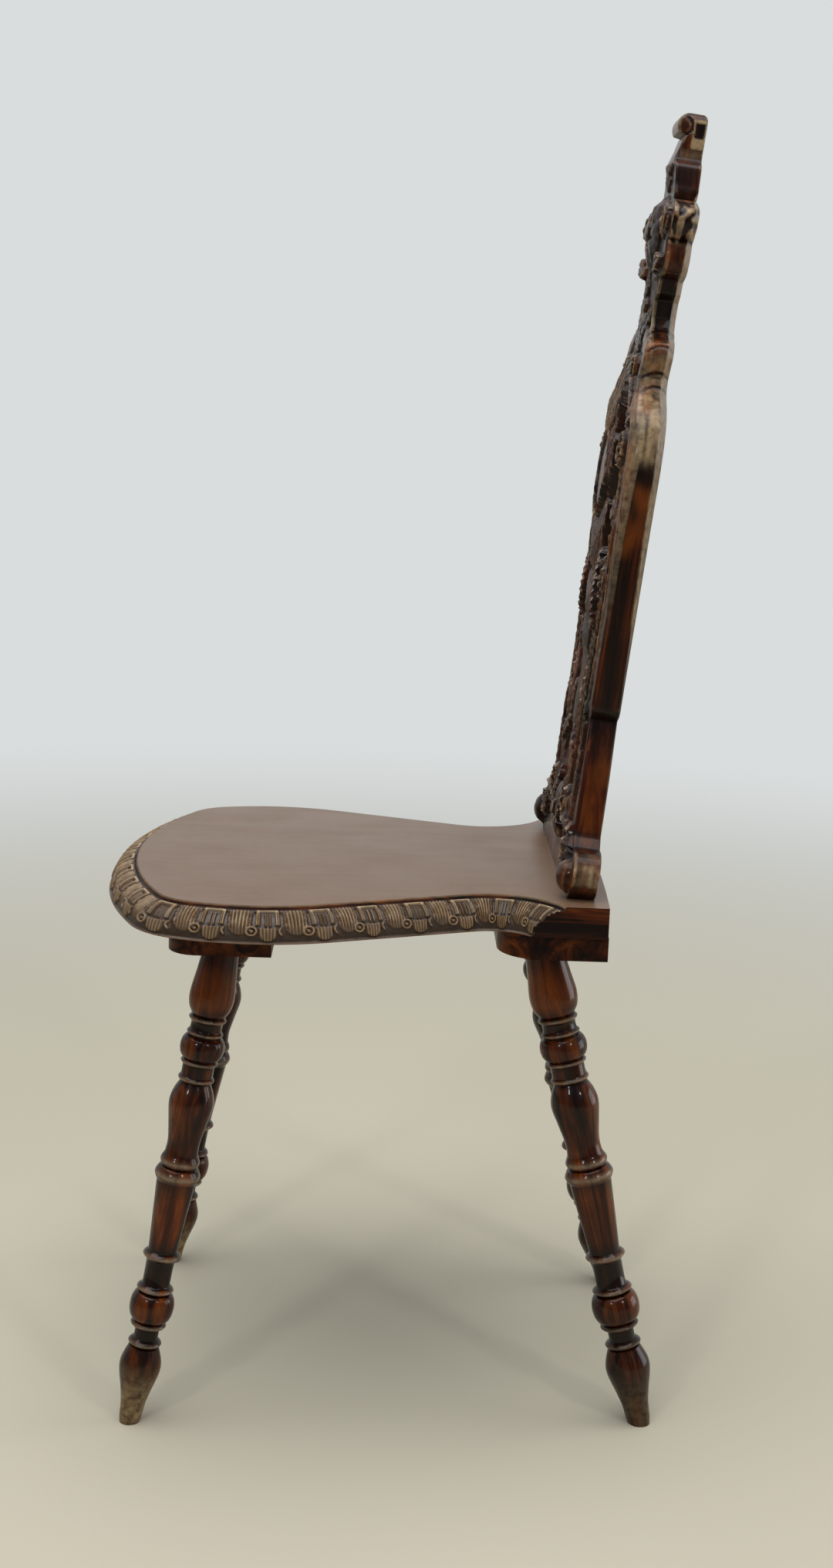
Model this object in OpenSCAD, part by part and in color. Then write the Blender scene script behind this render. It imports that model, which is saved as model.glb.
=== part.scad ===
// Sgabello: a carved walnut hall chair with a plank seat, four turned and splayed legs,
// two battens under the seat and one carved backboard standing on it.
// Millimetres. Z is up, the chair faces -Y, and the floor is z = 0.

/* [Seat] */
// Height of the seat's flat top above the floor
seat_height = 460; // [440:1:480]
// Thickness of the seat plank
seat_thickness = 25.5; // [23:0.5:30]
// Width of the flat top across the front lobes
seat_width = 374; // [362:1:392]
// Depth of the flat top from its front to the rear edge
seat_depth = 400; // [392:1:420]
// Width of the flat top across the waist
waist_width = 254; // [244:1:266]
// Width of the square block behind the waist
block_width = 326; // [316:1:340]
// Distance from the front of the flat top to its widest place
lobe_setback = 111; // [104:1:116]
// Distance from the rear edge to the waist
waist_setback = 96; // [92:1:104]
// Radius of the gently curved front edge
front_radius = 370; // [340:5:420]
// Radius of the front corners
corner_radius = 45; // [38:1:52]
// Radius of the bulging sides
side_radius = 150; // [142:1:158]
// Radius of the hollow waist
waist_radius = 62; // [58:1:68]
// How far the rear edge bows out at its middle
rear_bow = 4; // [2:0.5:8]

/* [Moulded rim] */
// Width of the rounded moulding outside the flat top
rim_width = 23; // [18:1:26]
// Step from the flat top down to the moulding
rim_step = 2.5; // [1.5:0.5:4]

/* [Battens] */
// Thickness of the two battens under the seat
batten_thickness = 20; // [16:1:24]
// Length of the front batten, across the chair
front_batten_length = 350; // [338:1:362]
// Width of the front batten, front to back
front_batten_width = 84; // [78:1:92]
// Radius of the front batten's forward corners
front_batten_corner = 24; // [16:1:30]
// Length of the rear batten, across the chair
rear_batten_length = 318; // [308:1:324]
// Width of the rear batten, front to back
rear_batten_width = 88; // [82:1:92]
// Radius of the rear batten's forward corners
rear_batten_corner = 36; // [28:1:40]
// Setback of the rear batten from the seat's rear edge
rear_batten_setback = 3; // [1:0.5:6]

/* [Legs] */
// Distance between the front leg axes at the battens
front_leg_spread = 274; // [264:1:282]
// Distance from the front of the flat top to the front leg axes
front_leg_setback = 85; // [80:1:90]
// Sideways splay of a front leg, from batten to floor
front_leg_splay_out = 20; // [10:1:30]
// Forward splay of a front leg, from batten to floor
front_leg_splay_forward = 71; // [55:1:85]
// Distance between the rear leg axes at the battens
rear_leg_spread = 214; // [206:1:224]
// Distance from the rear edge to the rear leg axes
rear_leg_setback = 52; // [49:0.5:56]
// Sideways splay of a rear leg, from batten to floor
rear_leg_splay_out = 30; // [15:1:40]
// Backward splay of a rear leg, from batten to floor
rear_leg_splay_back = 100; // [80:1:115]
// Stoutness of a rear leg against a front leg
rear_leg_stoutness = 1.09; // [1:0.01:1.15]
// Diameter of the round tenon on top of each leg
leg_tenon_d = 24; // [20:0.5:26]
// How far a leg's tenon reaches into the seat
leg_tenon_reach = 14; // [10:1:18]

/* [Turned profile of a front leg] */
// Diameter of the neck under the batten
leg_neck_d = 28.6; // [26.5:0.2:32]
// Diameter of the urn at the top
urn_d = 37; // [34:0.5:42]
// Diameter of the small sharp rings
ring_d = 31; // [29:0.5:33]
// Diameter of the plain necks between the rings
waist_d = 26.4; // [24:0.2:28]
// Diameter of the squashed bulb
bulb_d = 36.6; // [33:0.2:41]
// Diameter of the vase at its shoulder
vase_d = 37; // [34:0.5:42]
// Diameter of the large collar in the middle
collar_d = 38; // [35:0.5:42]
// Diameter of the cone at its upper end
cone_top_d = 32.6; // [30:0.2:34]
// Diameter of the cone at its lower end
cone_low_d = 24; // [22:0.2:27]
// Diameter of the ball above the foot
ball_d = 37.2; // [34:0.2:41]
// Diameter of the slim neck under the ball
slim_d = 20.4; // [18:0.2:24]
// Diameter of the foot's vase
foot_vase_d = 35; // [32:0.5:40]
// Diameter of the toe
toe_d = 18.8; // [17:0.2:22]

/* [Backboard] */
// Length of the backboard along its own face, above the seat
back_length = 634; // [610:1:660]
// Thickness of the backboard without its carving
back_thickness = 23; // [20:0.5:27]
// Backward lean of the backboard, in degrees
back_lean = 6.6; // [4:0.1:8]
// Distance from the seat's rear edge to the backboard
back_setback = 14; // [12:0.5:18]
// Half width across the scrolled feet
back_foot_reach = 148; // [140:1:154]
// Radius of the scrolled feet
back_foot_radius = 20; // [16:0.5:22]
// Half width of the stem above the feet
stem_reach = 112; // [106:1:118]
// Half width of the stem at the notch
notch_reach = 92; // [88:1:96]
// Half width of the body just above the notch
body_low_reach = 102; // [99:1:106]
// Half width of the body at the shoulders
shoulder_reach = 109; // [105:1:116]
// Radius of the rounded shoulders
shoulder_radius = 27; // [22:1:30]
// Half width of the hollow between body and crest
hollow_reach = 38; // [34:1:42]
// Half width of the crest at its curled ears
ear_reach = 74; // [70:1:80]
// Half width of the neck above the ears
neck_reach = 34; // [30:1:40]
// Half width of the top scroll
top_reach = 19; // [16:1:26]
// Radius of the scroll that rolls forward along the top
roll_radius = 11; // [9:0.5:12.5]
// How far the top's scroll stands in front of the board
roll_height = 1; // [-1:0.5:4]
// Depth of the chamfer along the rear edges
rear_chamfer = 6; // [4:0.5:8]
// Height of the carved shield above the board at its shoulders
shield_height = 16; // [12:0.5:20]
// Height of the carved shield at its lower tip
shield_tip_height = 4.5; // [2:0.5:7]
// Half width of the carved shield
shield_reach = 66; // [60:1:72]
// Height of the scroll bands beside the shield, at the shoulders
band_height = 7; // [5:0.5:10]
// Width of the scroll bands beside the shield
band_width = 15; // [12:0.5:18]
// Radius of the rosette in the crest
rosette_radius = 34; // [28:1:38]
// Height of the rosette in the crest
rosette_height = 10; // [7:0.5:13]
// Height of the curled ears above the board
ear_height = 4.5; // [2:0.5:7]
// Radius of the round scrolls carved above the feet
boss_radius = 19; // [15:0.5:22]
// Height of the round scrolls carved above the feet
boss_height = 9; // [6:0.5:12]
// Width of each tenon of the backboard
back_tenon_width = 38; // [32:1:44]
// Thickness of each tenon of the backboard
back_tenon_thickness = 14; // [10:0.5:16]
// Distance between the middles of the backboard's tenons
back_tenon_spread = 90; // [82:1:100]

/* [Wedges and screws] */
// Thickness of a tenon wedge at its driven end
wedge_thickness = 4; // [3:0.5:5]
// Length of a tenon wedge
wedge_length = 30; // [24:1:36]
// Diameter of a batten screw's countersunk head
screw_head_d = 9; // [8:0.5:10]
// Diameter of a batten screw's shank
screw_d = 4.5; // [4:0.1:5]
// How far a batten screw reaches into the seat
screw_reach = 14; // [10:1:17]
// Width of the slot in a screw head
screw_slot = 1.2; // [0.8:0.1:1.6]

/* [Clearances] */
// Clearance round the leg tenons in their sockets
socket_clearance = 0.15; // [0.05:0.05:0.3]
// Clearance round the backboard's tenons in their mortises
mortise_clearance = 0.2; // [0.1:0.05:0.4]
// Clearance round the wedges and screws
small_clearance = 0.1; // [0.05:0.05:0.2]

/* [Hidden] */
$fn = 72;

walnut = "#4a2c1c";
dark_walnut = "#3a2015";
pale_wood = "#7a5a3a";
old_steel = "#5a5752";

// Heights of the main levels
seat_bottom = seat_height - seat_thickness;
batten_bottom = seat_bottom - batten_thickness;

// Places along Y, measured from the front of the flat top
front_edge_y = -seat_depth / 2;
rear_edge_y = front_edge_y + seat_depth;
lobe_y = front_edge_y + lobe_setback;
waist_y = rear_edge_y - waist_setback;
front_leg_y = front_edge_y + front_leg_setback;
rear_leg_y = rear_edge_y - rear_leg_setback;
back_foot_y = rear_edge_y - back_setback;

// Centres of the arcs that make the right half of the flat top's outline
front_centre = [0, front_edge_y + front_radius];
side_centre = [seat_width / 2 - side_radius, lobe_y];
waist_centre = [waist_width / 2 + waist_radius, waist_y];
corner_centre = circles_meet(side_centre, side_radius - corner_radius,
                             front_centre, front_radius - corner_radius);

// Directions in which neighbouring arcs touch
front_turn = angle_to(front_centre, corner_centre);
side_turn = angle_to(side_centre, corner_centre);
centre_gap = norm(waist_centre - side_centre);
straight_turn = angle_to(side_centre, waist_centre) - acos((side_radius + waist_radius) / centre_gap);
straight_start = side_centre + side_radius * unit(straight_turn);
straight_end = waist_centre - waist_radius * unit(straight_turn);
straight_length = norm(straight_end - straight_start);
block_turn = 180 - acos((waist_centre.x - block_width / 2) / waist_radius);
block_y = waist_y + waist_radius * sin(block_turn);

// The bowed rear edge is part of one large circle
bow_radius = (pow(block_width / 2, 2) + pow(rear_bow, 2)) / (2 * rear_bow);

// The rim's sections reach this far inside the flat top, and the plank's core starts halfway
rim_root = 12;
core_inset = rim_root / 2;

// Core and rim are drawn this much too tall, and planed off together at the seat's height
trim = 2;

// Leg axes, from the batten's underside to the floor
function leg_top(front) = front ? [front_leg_spread / 2, front_leg_y, batten_bottom]
                                : [rear_leg_spread / 2, rear_leg_y, batten_bottom];
function leg_run(front) = front ? [front_leg_splay_out, -front_leg_splay_forward, -batten_bottom]
                                : [rear_leg_splay_out, rear_leg_splay_back, -batten_bottom];

// The whole chair is centred front to back on its own origin; the top's rear corner is rounded
rear_foot_reach = rear_leg_y + rear_leg_splay_back + rear_leg_stoutness * toe_d / 2;
crest_round = 6;
back_top_reach = back_foot_y + (back_length - crest_round) * sin(back_lean)
                 + crest_round * (1 - cos(back_lean));
rear_reach = max(rear_foot_reach, back_top_reach);
front_reach = front_edge_y - rim_width;
centring = -(front_reach + rear_reach) / 2;

// A space that is larger than the chair, for cutting with planes
beyond = 900;

function unit(a) = [cos(a), sin(a)];
function angle_to(from, to) = atan2(to.y - from.y, to.x - from.x);

// The point at distance ra from a and rb from b that lies to the right of the line from a to b
function circles_meet(a, ra, b, rb) =
    let (gap = norm(b - a),
         along = (gap * gap + ra * ra - rb * rb) / (2 * gap),
         aside = sqrt(ra * ra - along * along),
         turn = angle_to(a, b))
    a + along * unit(turn) - aside * unit(turn + 90);

// Points on an arc, from one direction to another
function arc(centre, radius, from, to, steps = 12) =
    [for (i = [0:steps]) centre + radius * unit(from + (to - from) * i / steps)];

// A smooth curve through a list of points
function curve(knots, steps = 6) =
    let (last = len(knots) - 1)
    [for (k = [0:last - 1], i = [0:(k == last - 1 ? steps : steps - 1)])
        let (a = knots[max(k - 1, 0)], b = knots[k], c = knots[k + 1], d = knots[min(k + 2, last)],
             t = i / steps)
        0.5 * (2 * b + (c - a) * t + (2 * a - 5 * b + 4 * c - d) * t * t
               + (3 * b - a - 3 * c + d) * t * t * t)];

// A turned bead: half an ellipse that swells from the edge radius to the crown radius
function bead(low, high, edge, crown, steps = 8) =
    [for (i = [0:steps]) [edge + (crown - edge) * sin(180 * i / steps),
                          (low + high) / 2 - (high - low) / 2 * cos(180 * i / steps)]];

// The core of the plank, drawn a little inside the flat top's outline and closed by the bowed rear edge
module seat_core() {
    right_side = concat(
        arc(front_centre, front_radius - core_inset, -90, front_turn),
        arc(corner_centre, corner_radius - core_inset, front_turn, side_turn),
        arc(side_centre, side_radius - core_inset, side_turn, straight_turn),
        arc(waist_centre, waist_radius + core_inset, 180 + straight_turn, block_turn));
    left_side = [for (i = [len(right_side) - 1:-1:0]) [-right_side[i].x, right_side[i].y]];
    intersection() {
        union() {
            polygon(concat(right_side, left_side));
            translate([-block_width / 2, block_y + core_inset])
                square([block_width, rear_edge_y - block_y - core_inset]);
        }
        translate([0, rear_edge_y - bow_radius])
            circle(r = bow_radius, $fn = 720);
    }
}

// The edge of the flat top, the step down and the quarter-round moulding, growing to +x from x = 0
module rim_profile(outward = 1) {
    crown = seat_thickness - rim_step;
    round_edge = [for (a = [90:-9:0]) [outward * rim_width * cos(a), crown * sin(a)]];
    polygon(concat([[0, seat_thickness + trim]], round_edge,
                   [[-outward * rim_root, 0], [-outward * rim_root, seat_thickness + trim]]));
}

// The moulding carried round an arc that bulges out
module rim_bulge(centre, radius, from, to) {
    translate([centre.x, centre.y, seat_bottom])
        rotate([0, 0, from])
            rotate_extrude(angle = to - from)
                translate([radius, 0])
                    rim_profile();
}

// The moulding carried round an arc that is hollow
module rim_hollow(centre, radius, from, to) {
    translate([centre.x, centre.y, seat_bottom])
        rotate([0, 0, from])
            rotate_extrude(angle = to - from)
                translate([radius, 0])
                    rim_profile(-1);
}

// The moulding of the right side, from the front corner to the block
module right_rim() {
    rim_bulge(corner_centre, corner_radius, front_turn, side_turn);
    rim_bulge(side_centre, side_radius, side_turn, straight_turn);
    translate([straight_start.x, straight_start.y, seat_bottom])
        rotate([0, 0, straight_turn])
            rotate([90, 0, 0])
                translate([0, 0, -straight_length])
                    linear_extrude(height = straight_length)
                        rim_profile();
    intersection() {
        rim_hollow(waist_centre, waist_radius, block_turn - 40, 180 + straight_turn);
        translate([0, front_edge_y, 0])
            cube([block_width / 2, seat_depth, seat_height + 2 * trim]);
    }
}

// A round hole or tenon along a leg's axis, from the batten's underside up into the seat
module along_leg(front, side) {
    top = leg_top(front);
    run = leg_run(front);
    turn = atan2(run.y, side * run.x);
    tilt = acos(-run.z / norm(run));
    translate([side * top.x, top.y, top.z])
        rotate([0, 0, turn])
            rotate([0, -tilt, 0])
                children();
}

module leg_socket(front, side) {
    along_leg(front, side)
        translate([0, 0, -batten_thickness])
            cylinder(d = leg_tenon_d + 2 * socket_clearance,
                     h = 2 * batten_thickness + leg_tenon_reach + small_clearance);
}

// Everything on the backboard is drawn flat, with x across and y up the board,
// and the board's front face at z = 0, then stood up and leaned back
module on_back() {
    translate([0, back_foot_y - back_thickness / cos(back_lean), seat_height])
        rotate([90 - back_lean, 0, 0])
            children();
}

// One tenon of the backboard, grown all round by a clearance
module back_tenon(side, grow = 0) {
    reach = (seat_thickness + batten_thickness) / cos(back_lean);
    width = back_tenon_width + 2 * grow;
    thick = back_tenon_thickness + 2 * grow;
    on_back()
        translate([side * back_tenon_spread / 2 - width / 2, -reach - 5 * grow,
                   -back_thickness / 2 - thick / 2])
            cube([width, reach + 5 * grow + (grow > 0 ? 5 : 8), thick]);
}

// A tapered wedge in the end of a tenon, grown all round by a clearance
module tenon_wedge(side, grow = 0) {
    reach = (seat_thickness + batten_thickness) / cos(back_lean);
    driven = wedge_thickness / 2 + grow;
    tip = wedge_thickness / 8 + grow;
    deep = back_tenon_thickness / 2 + (grow > 0 ? 1 : 0);
    low = -reach + (grow > 0 ? -1 : 1);
    on_back()
        translate([side * back_tenon_spread / 2, 0, -back_thickness / 2 - deep])
            linear_extrude(height = 2 * deep)
                polygon([[-driven, low], [driven, low],
                         [tip, -reach + wedge_length + grow], [-tip, -reach + wedge_length + grow]]);
}

// Screw places on a batten: two at each end, clear of the leg sockets and tenons
function screw_places(length, width, middle) =
    [for (x = [-1, 1], y = [-1, 1]) [x * (length / 2 - 18 - width / 8), middle + y * width * 0.28]];

module batten_screw(grow = 0) {
    head = screw_head_d / 2;
    shank = screw_d / 2;
    cylinder(r1 = head + grow, r2 = shank + grow, h = head - shank);
    cylinder(r = shank + grow, h = batten_thickness + screw_reach + grow);
}

module screws(places, grow = 0) {
    for (place = places)
        translate([place.x, place.y, batten_bottom])
            batten_screw(grow);
}

front_batten_y = front_leg_y;
rear_batten_y = rear_edge_y - rear_batten_setback - rear_batten_width / 2;
front_screw_places = screw_places(front_batten_length, front_batten_width, front_batten_y);
rear_screw_places = screw_places(rear_batten_length, rear_batten_width, rear_batten_y - 4);

module seat_board() {
    color(walnut)
        translate([0, centring, 0])
            difference() {
                union() {
                    translate([0, 0, seat_bottom])
                        linear_extrude(height = seat_thickness + trim)
                            seat_core();
                    rim_bulge(front_centre, front_radius, -180 - front_turn, front_turn);
                    right_rim();
                    mirror([1, 0, 0])
                        right_rim();
                }
                translate([-seat_width, -seat_depth, seat_height])
                    cube([2 * seat_width, 2 * seat_depth, 2 * trim]);
                for (front = [true, false], side = [-1, 1])
                    leg_socket(front, side);
                for (side = [-1, 1])
                    back_tenon(side, mortise_clearance);
                screws(front_screw_places, small_clearance);
                screws(rear_screw_places, small_clearance);
            }
}

// A flat batten with its two forward corners rounded
module batten_shape(length, width, corner) {
    translate([-length / 2 + corner, -width / 2])
        square([length - 2 * corner, width]);
    translate([-length / 2, -width / 2 + corner])
        square([length, width - corner]);
    for (side = [-1, 1])
        translate([side * (length / 2 - corner), -width / 2 + corner])
            circle(r = corner);
}

module front_batten() {
    color(dark_walnut)
        translate([0, centring, 0])
            difference() {
                translate([0, front_batten_y, batten_bottom])
                    linear_extrude(height = batten_thickness)
                        batten_shape(front_batten_length, front_batten_width, front_batten_corner);
                for (side = [-1, 1])
                    leg_socket(true, side);
                screws(front_screw_places, small_clearance);
            }
}

module rear_batten() {
    color(dark_walnut)
        translate([0, centring, 0])
            difference() {
                translate([0, rear_batten_y, batten_bottom])
                    linear_extrude(height = batten_thickness)
                        batten_shape(rear_batten_length, rear_batten_width, rear_batten_corner);
                for (side = [-1, 1]) {
                    leg_socket(false, side);
                    back_tenon(side, mortise_clearance);
                }
                screws(rear_screw_places, small_clearance);
            }
}

// The turned outline from the floor up, for a leg whose batten is at height 1000
function leg_outline(stout) =
    let (neck = stout * leg_neck_d / 2,
         urn = stout * urn_d / 2,
         ring = stout * ring_d / 2,
         plain = stout * waist_d / 2,
         bulb = stout * bulb_d / 2,
         vase = stout * vase_d / 2,
         collar = stout * collar_d / 2,
         cone_top = stout * cone_top_d / 2,
         cone_low = stout * cone_low_d / 2,
         ball = stout * ball_d / 2,
         slim = stout * slim_d / 2,
         foot = stout * foot_vase_d / 2,
         toe = stout * toe_d / 2)
    concat(
        [[toe * 0.86, -30], [toe * 0.86, 0]],
        curve([[toe, 11], [toe * 1.12, 42], [foot * 0.74, 70], [foot, 122], [slim * 1.25, 163]]),
        bead(165, 179, slim * 1.1, ring * 0.91),
        [[slim, 181], [slim, 202]],
        bead(203, 219, slim * 1.15, ring * 0.97),
        bead(220, 278, plain, ball, 16),
        bead(279, 294, cone_low, ring),
        [[cone_low * 0.95, 296], [cone_low * 0.98, 346]],
        bead(348, 366, cone_low, ring * 1.01),
        [[cone_low, 368], [cone_top, 512]],
        bead(514, 542, cone_top, collar),
        bead(543, 569, plain * 1.1, ring * 1.06),
        curve([[plain * 1.04, 571], [plain * 1.02, 596], [vase * 0.87, 635], [vase, 672],
               [vase * 0.9, 697], [plain * 0.97, 717]]),
        bead(719, 731, plain, ring * 0.97),
        [[plain, 733], [plain, 751]],
        bead(753, 765, plain, ring),
        bead(766, 812, plain, bulb, 12),
        bead(813, 824, plain, ring * 0.97),
        [[plain * 0.98, 826], [plain * 0.98, 839]],
        bead(841, 854, plain, ring),
        curve([[plain * 1.06, 856], [urn * 0.94, 872], [urn, 897], [urn * 0.9, 938],
               [neck * 1.07, 970], [neck, 1000]]));

// A turned leg with its round tenon, cut level at the batten and at the floor
module leg(front, side) {
    run = leg_run(front);
    length = norm(run);
    stout = front ? 1 : rear_leg_stoutness;
    outline = [for (p = leg_outline(stout)) [p.x, (p.y / 1000 - 1) * length]];
    lowest = outline[0].y;
    translate([0, centring, 0])
        union() {
            intersection() {
                along_leg(front, side)
                    rotate_extrude()
                        polygon(concat([[0, lowest]], outline, [[outline[len(outline) - 1].x, 12], [0, 12]]));
                translate([-beyond / 2, -beyond / 2, 0])
                    cube([beyond, beyond, batten_bottom]);
            }
            along_leg(front, side)
                translate([0, 0, -8])
                    cylinder(d = leg_tenon_d, h = 8 + (batten_thickness + leg_tenon_reach) / (-run.z / length)
                                                  - leg_tenon_d / 2 * tan(acos(-run.z / length)));
        }
}

module leg_front_left() { color(walnut) leg(true, -1); }
module leg_front_right() { color(walnut) leg(true, 1); }
module leg_rear_left() { color(walnut) leg(false, -1); }
module leg_rear_right() { color(walnut) leg(false, 1); }

// Heights of the backboard's features along the board, as shares of its length
function up(share) = share * back_length;

// The right edge of the backboard, from the seat to the middle of the top
function back_edge() =
    let (foot = [back_foot_reach - back_foot_radius, back_foot_radius],
         shoulder = [shoulder_reach - shoulder_radius, up(0.588)],
         small = [hollow_reach + 14, up(0.69)],
         lobe = [hollow_reach + 10, up(0.815)],
         corner = roll_radius)
    concat(
        [[foot.x, -10]],
        arc(foot, back_foot_radius, -90, 112, 18),
        curve([[stem_reach, up(0.078)], [stem_reach - 7, up(0.15)],
               [notch_reach, up(0.226)]], 5),
        [[body_low_reach - 3, up(0.232)]],
        curve([[body_low_reach, up(0.24)], [body_low_reach + 1, up(0.3)],
               [shoulder_reach - 3, up(0.5)], [shoulder_reach, up(0.57)]], 5),
        arc(shoulder, shoulder_radius, 0, 75, 10),
        curve([[shoulder.x - 4, up(0.63)], [small.x + 11, up(0.647)], [small.x + 8, up(0.664)]], 5),
        arc(small, 15, 0, 80, 7),
        [[small.x - 2, up(0.72)], [hollow_reach + 6, up(0.725)], [hollow_reach, up(0.74)],
         [hollow_reach, up(0.762)], [hollow_reach + 7, up(0.77)], [hollow_reach + 9, up(0.788)]],
        arc(lobe, 17, -50, 15, 7),
        curve([[lobe.x + 14, up(0.835)], [ear_reach - 5, up(0.842)], [ear_reach, up(0.858)],
               [ear_reach - 5, up(0.874)], [neck_reach + 12, up(0.886)]], 5),
        [[neck_reach, up(0.889)], [neck_reach + 3, up(0.9)], [neck_reach - 3, up(0.908)],
         [neck_reach, up(0.918)], [neck_reach - 6, up(0.926)], [neck_reach - 6, up(0.935)],
         [top_reach + 2, up(0.94)], [top_reach, up(0.95)]],
        arc([top_reach - corner, back_length - corner], corner, 0, 90, 8));

function mirrored(edge) = [for (i = [len(edge) - 1:-1:0]) [-edge[i].x, edge[i].y]];

// The crest seen from the side, with x up the board and y in front of its face:
// a thinner neck, and a top that rolls forward over a small cove
module crest_side() {
    roll = [back_length - roll_radius, roll_height - roll_radius];
    low = up(0.889);
    polygon(concat(
        [[low - 12, -3.5], [low - 12, -back_thickness]],
        arc([back_length - crest_round, crest_round - back_thickness], crest_round, -90, 0, 6),
        arc(roll, roll_radius, 0, 130, 12),
        [[roll.x - roll_radius, -4], [up(0.955), -3.5], [up(0.943), -1], [up(0.937), 0], [up(0.93), -1.5],
         [up(0.907), -3], [low, -3.5]]));
}

// What is cut away from the front at the hollow, which leaves it crowned across its width
module hollow_sides() {
    crown = 3 * hollow_reach;
    difference() {
        translate([-shoulder_reach, up(0.725), -crown / 4])
            cube([2 * shoulder_reach, up(0.065), crown]);
        translate([0, up(0.7), -crown])
            rotate([-90, 0, 0])
                cylinder(r = crown, h = up(0.12), $fn = 120);
    }
}

// The plain board, with the crest's side profile and a chamfer along the rear edges of its body
module back_plate() {
    low = [body_low_reach, up(0.24)];
    high = [shoulder_reach, up(0.57)];
    difference() {
        intersection() {
            translate([0, 0, -back_thickness - 2])
                linear_extrude(height = back_thickness + 8)
                    polygon(concat(back_edge(), mirrored(back_edge())));
            union() {
                translate([-beyond / 2, -beyond / 2, -back_thickness])
                    cube([beyond, beyond / 2 + up(0.889), back_thickness]);
                rotate([90, 0, 90])
                    translate([0, 0, -neck_reach - 10])
                        linear_extrude(height = 2 * neck_reach + 20)
                            crest_side();
            }
        }
        hollow_sides();
        for (side = [0, 1])
            mirror([side, 0, 0])
                translate([low.x, low.y, -back_thickness])
                    rotate([0, 0, angle_to(low, high) - 90])
                        rotate([0, 45, 0])
                            translate([-rear_chamfer / sqrt(2), 0, -rear_chamfer / sqrt(2)])
                                cube([rear_chamfer * sqrt(2), norm(high - low), rear_chamfer * sqrt(2)]);
    }
}

// Keeps what lies under a line of heights: x is the way up the board, y the height above its face
module under(heights) {
    rotate([90, 0, 90])
        translate([0, 0, -back_foot_reach])
            linear_extrude(height = 2 * back_foot_reach)
                polygon(concat([[heights[0].x, -1]], heights, [[heights[len(heights) - 1].x, -1]]));
}

// The shield swells towards its shoulders and is crowned across its width
module shield() {
    low = up(0.235);
    high = up(0.71);
    edge = concat(
        curve([[0, low], [22, low + 14], [shield_reach * 0.62, low + 60], [shield_reach * 0.85, up(0.45)],
               [shield_reach, up(0.56)]], 6),
        curve([[shield_reach - 4, up(0.592)], [shield_reach * 0.62, up(0.615)],
               [shield_reach * 0.4, up(0.65)], [0, high]], 5));
    crown = 5 * shield_reach;
    intersection() {
        translate([0, 0, -1])
            linear_extrude(height = shield_height + 2)
                polygon(concat(edge, mirrored(edge)));
        under([[low, shield_tip_height], [up(0.36), shield_height * 0.62], [up(0.5), shield_height],
               [up(0.605), shield_height], [up(0.65), shield_height * 0.76], [high, shield_height * 0.08]]);
        translate([0, 0, shield_height - crown])
            rotate([-90, 0, 0])
                cylinder(r = crown, h = back_length, $fn = 180);
    }
}

// A scroll band beside the shield, which rises from the notch to the shoulder
module scroll_band() {
    outer = curve([[body_low_reach - 2, up(0.245)], [body_low_reach - 1, up(0.3)],
                   [shoulder_reach - 5, up(0.5)], [shoulder_reach - 2, up(0.575)]], 5);
    inner = [for (i = [len(outer) - 1:-1:0]) outer[i] - [band_width, 0]];
    roll = [shoulder_reach - shoulder_radius, up(0.588)];
    intersection() {
        translate([0, 0, -1])
            linear_extrude(height = band_height + 2)
                union() {
                    polygon(concat(outer, inner));
                    translate(roll)
                        circle(r = shoulder_radius - 2);
                }
        under([[up(0.24), band_height * 0.2], [up(0.36), band_height * 0.3], [up(0.46), band_height * 0.72],
               [up(0.56), band_height], [up(0.64), band_height]]);
    }
}

// The relief of the crest: a rosette between the ears, and two raised scrolls on each ear
module crest_relief() {
    dome = (rosette_radius * rosette_radius + rosette_height * rosette_height) / (2 * rosette_height);
    intersection() {
        translate([0, up(0.848), rosette_height - dome])
            sphere(r = dome, $fn = 96);
        translate([0, up(0.848), -1])
            cylinder(r = rosette_radius, h = rosette_height + 1);
    }
    for (side = [-1, 1]) {
        translate([side * (hollow_reach + 11), up(0.817), -1])
            cylinder(r = 14, h = ear_height * 0.8 + 1);
        translate([side * (ear_reach - 17), up(0.858), -1])
            cylinder(r = 14, h = ear_height + 1);
    }
}

// Two round scrolls and a pendant above the feet
module foot_relief() {
    for (side = [-1, 1])
        translate([side * (back_foot_reach - 2.4 * boss_radius), boss_radius + 7, -1])
            cylinder(r = boss_radius, h = boss_height + 1);
    translate([0, up(0.075), -1])
        cylinder(r1 = boss_radius * 1.6, r2 = boss_radius, h = boss_height);
}

module back_board() {
    color(walnut)
        translate([0, centring, 0])
            difference() {
                union() {
                    intersection() {
                        on_back()
                            union() {
                                back_plate();
                                shield();
                                scroll_band();
                                mirror([1, 0, 0])
                                    scroll_band();
                                crest_relief();
                                foot_relief();
                            }
                        translate([-beyond / 2, -beyond / 2, seat_height])
                            cube([beyond, beyond, beyond]);
                    }
                    for (side = [-1, 1])
                        back_tenon(side);
                }
                for (side = [-1, 1])
                    tenon_wedge(side, small_clearance);
            }
}

module back_wedge_left() { color(pale_wood) translate([0, centring, 0]) tenon_wedge(-1); }
module back_wedge_right() { color(pale_wood) translate([0, centring, 0]) tenon_wedge(1); }

// The screws of one batten, each with a slotted head
module slotted_screws(places) {
    translate([0, centring, 0])
        difference() {
            screws(places);
            for (place = places)
                translate([place.x, place.y, batten_bottom])
                    cube([screw_head_d + 2, screw_slot, 2], center = true);
        }
}

module front_batten_screws() { color(old_steel) slotted_screws(front_screw_places); }
module rear_batten_screws() { color(old_steel) slotted_screws(rear_screw_places); }

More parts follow.
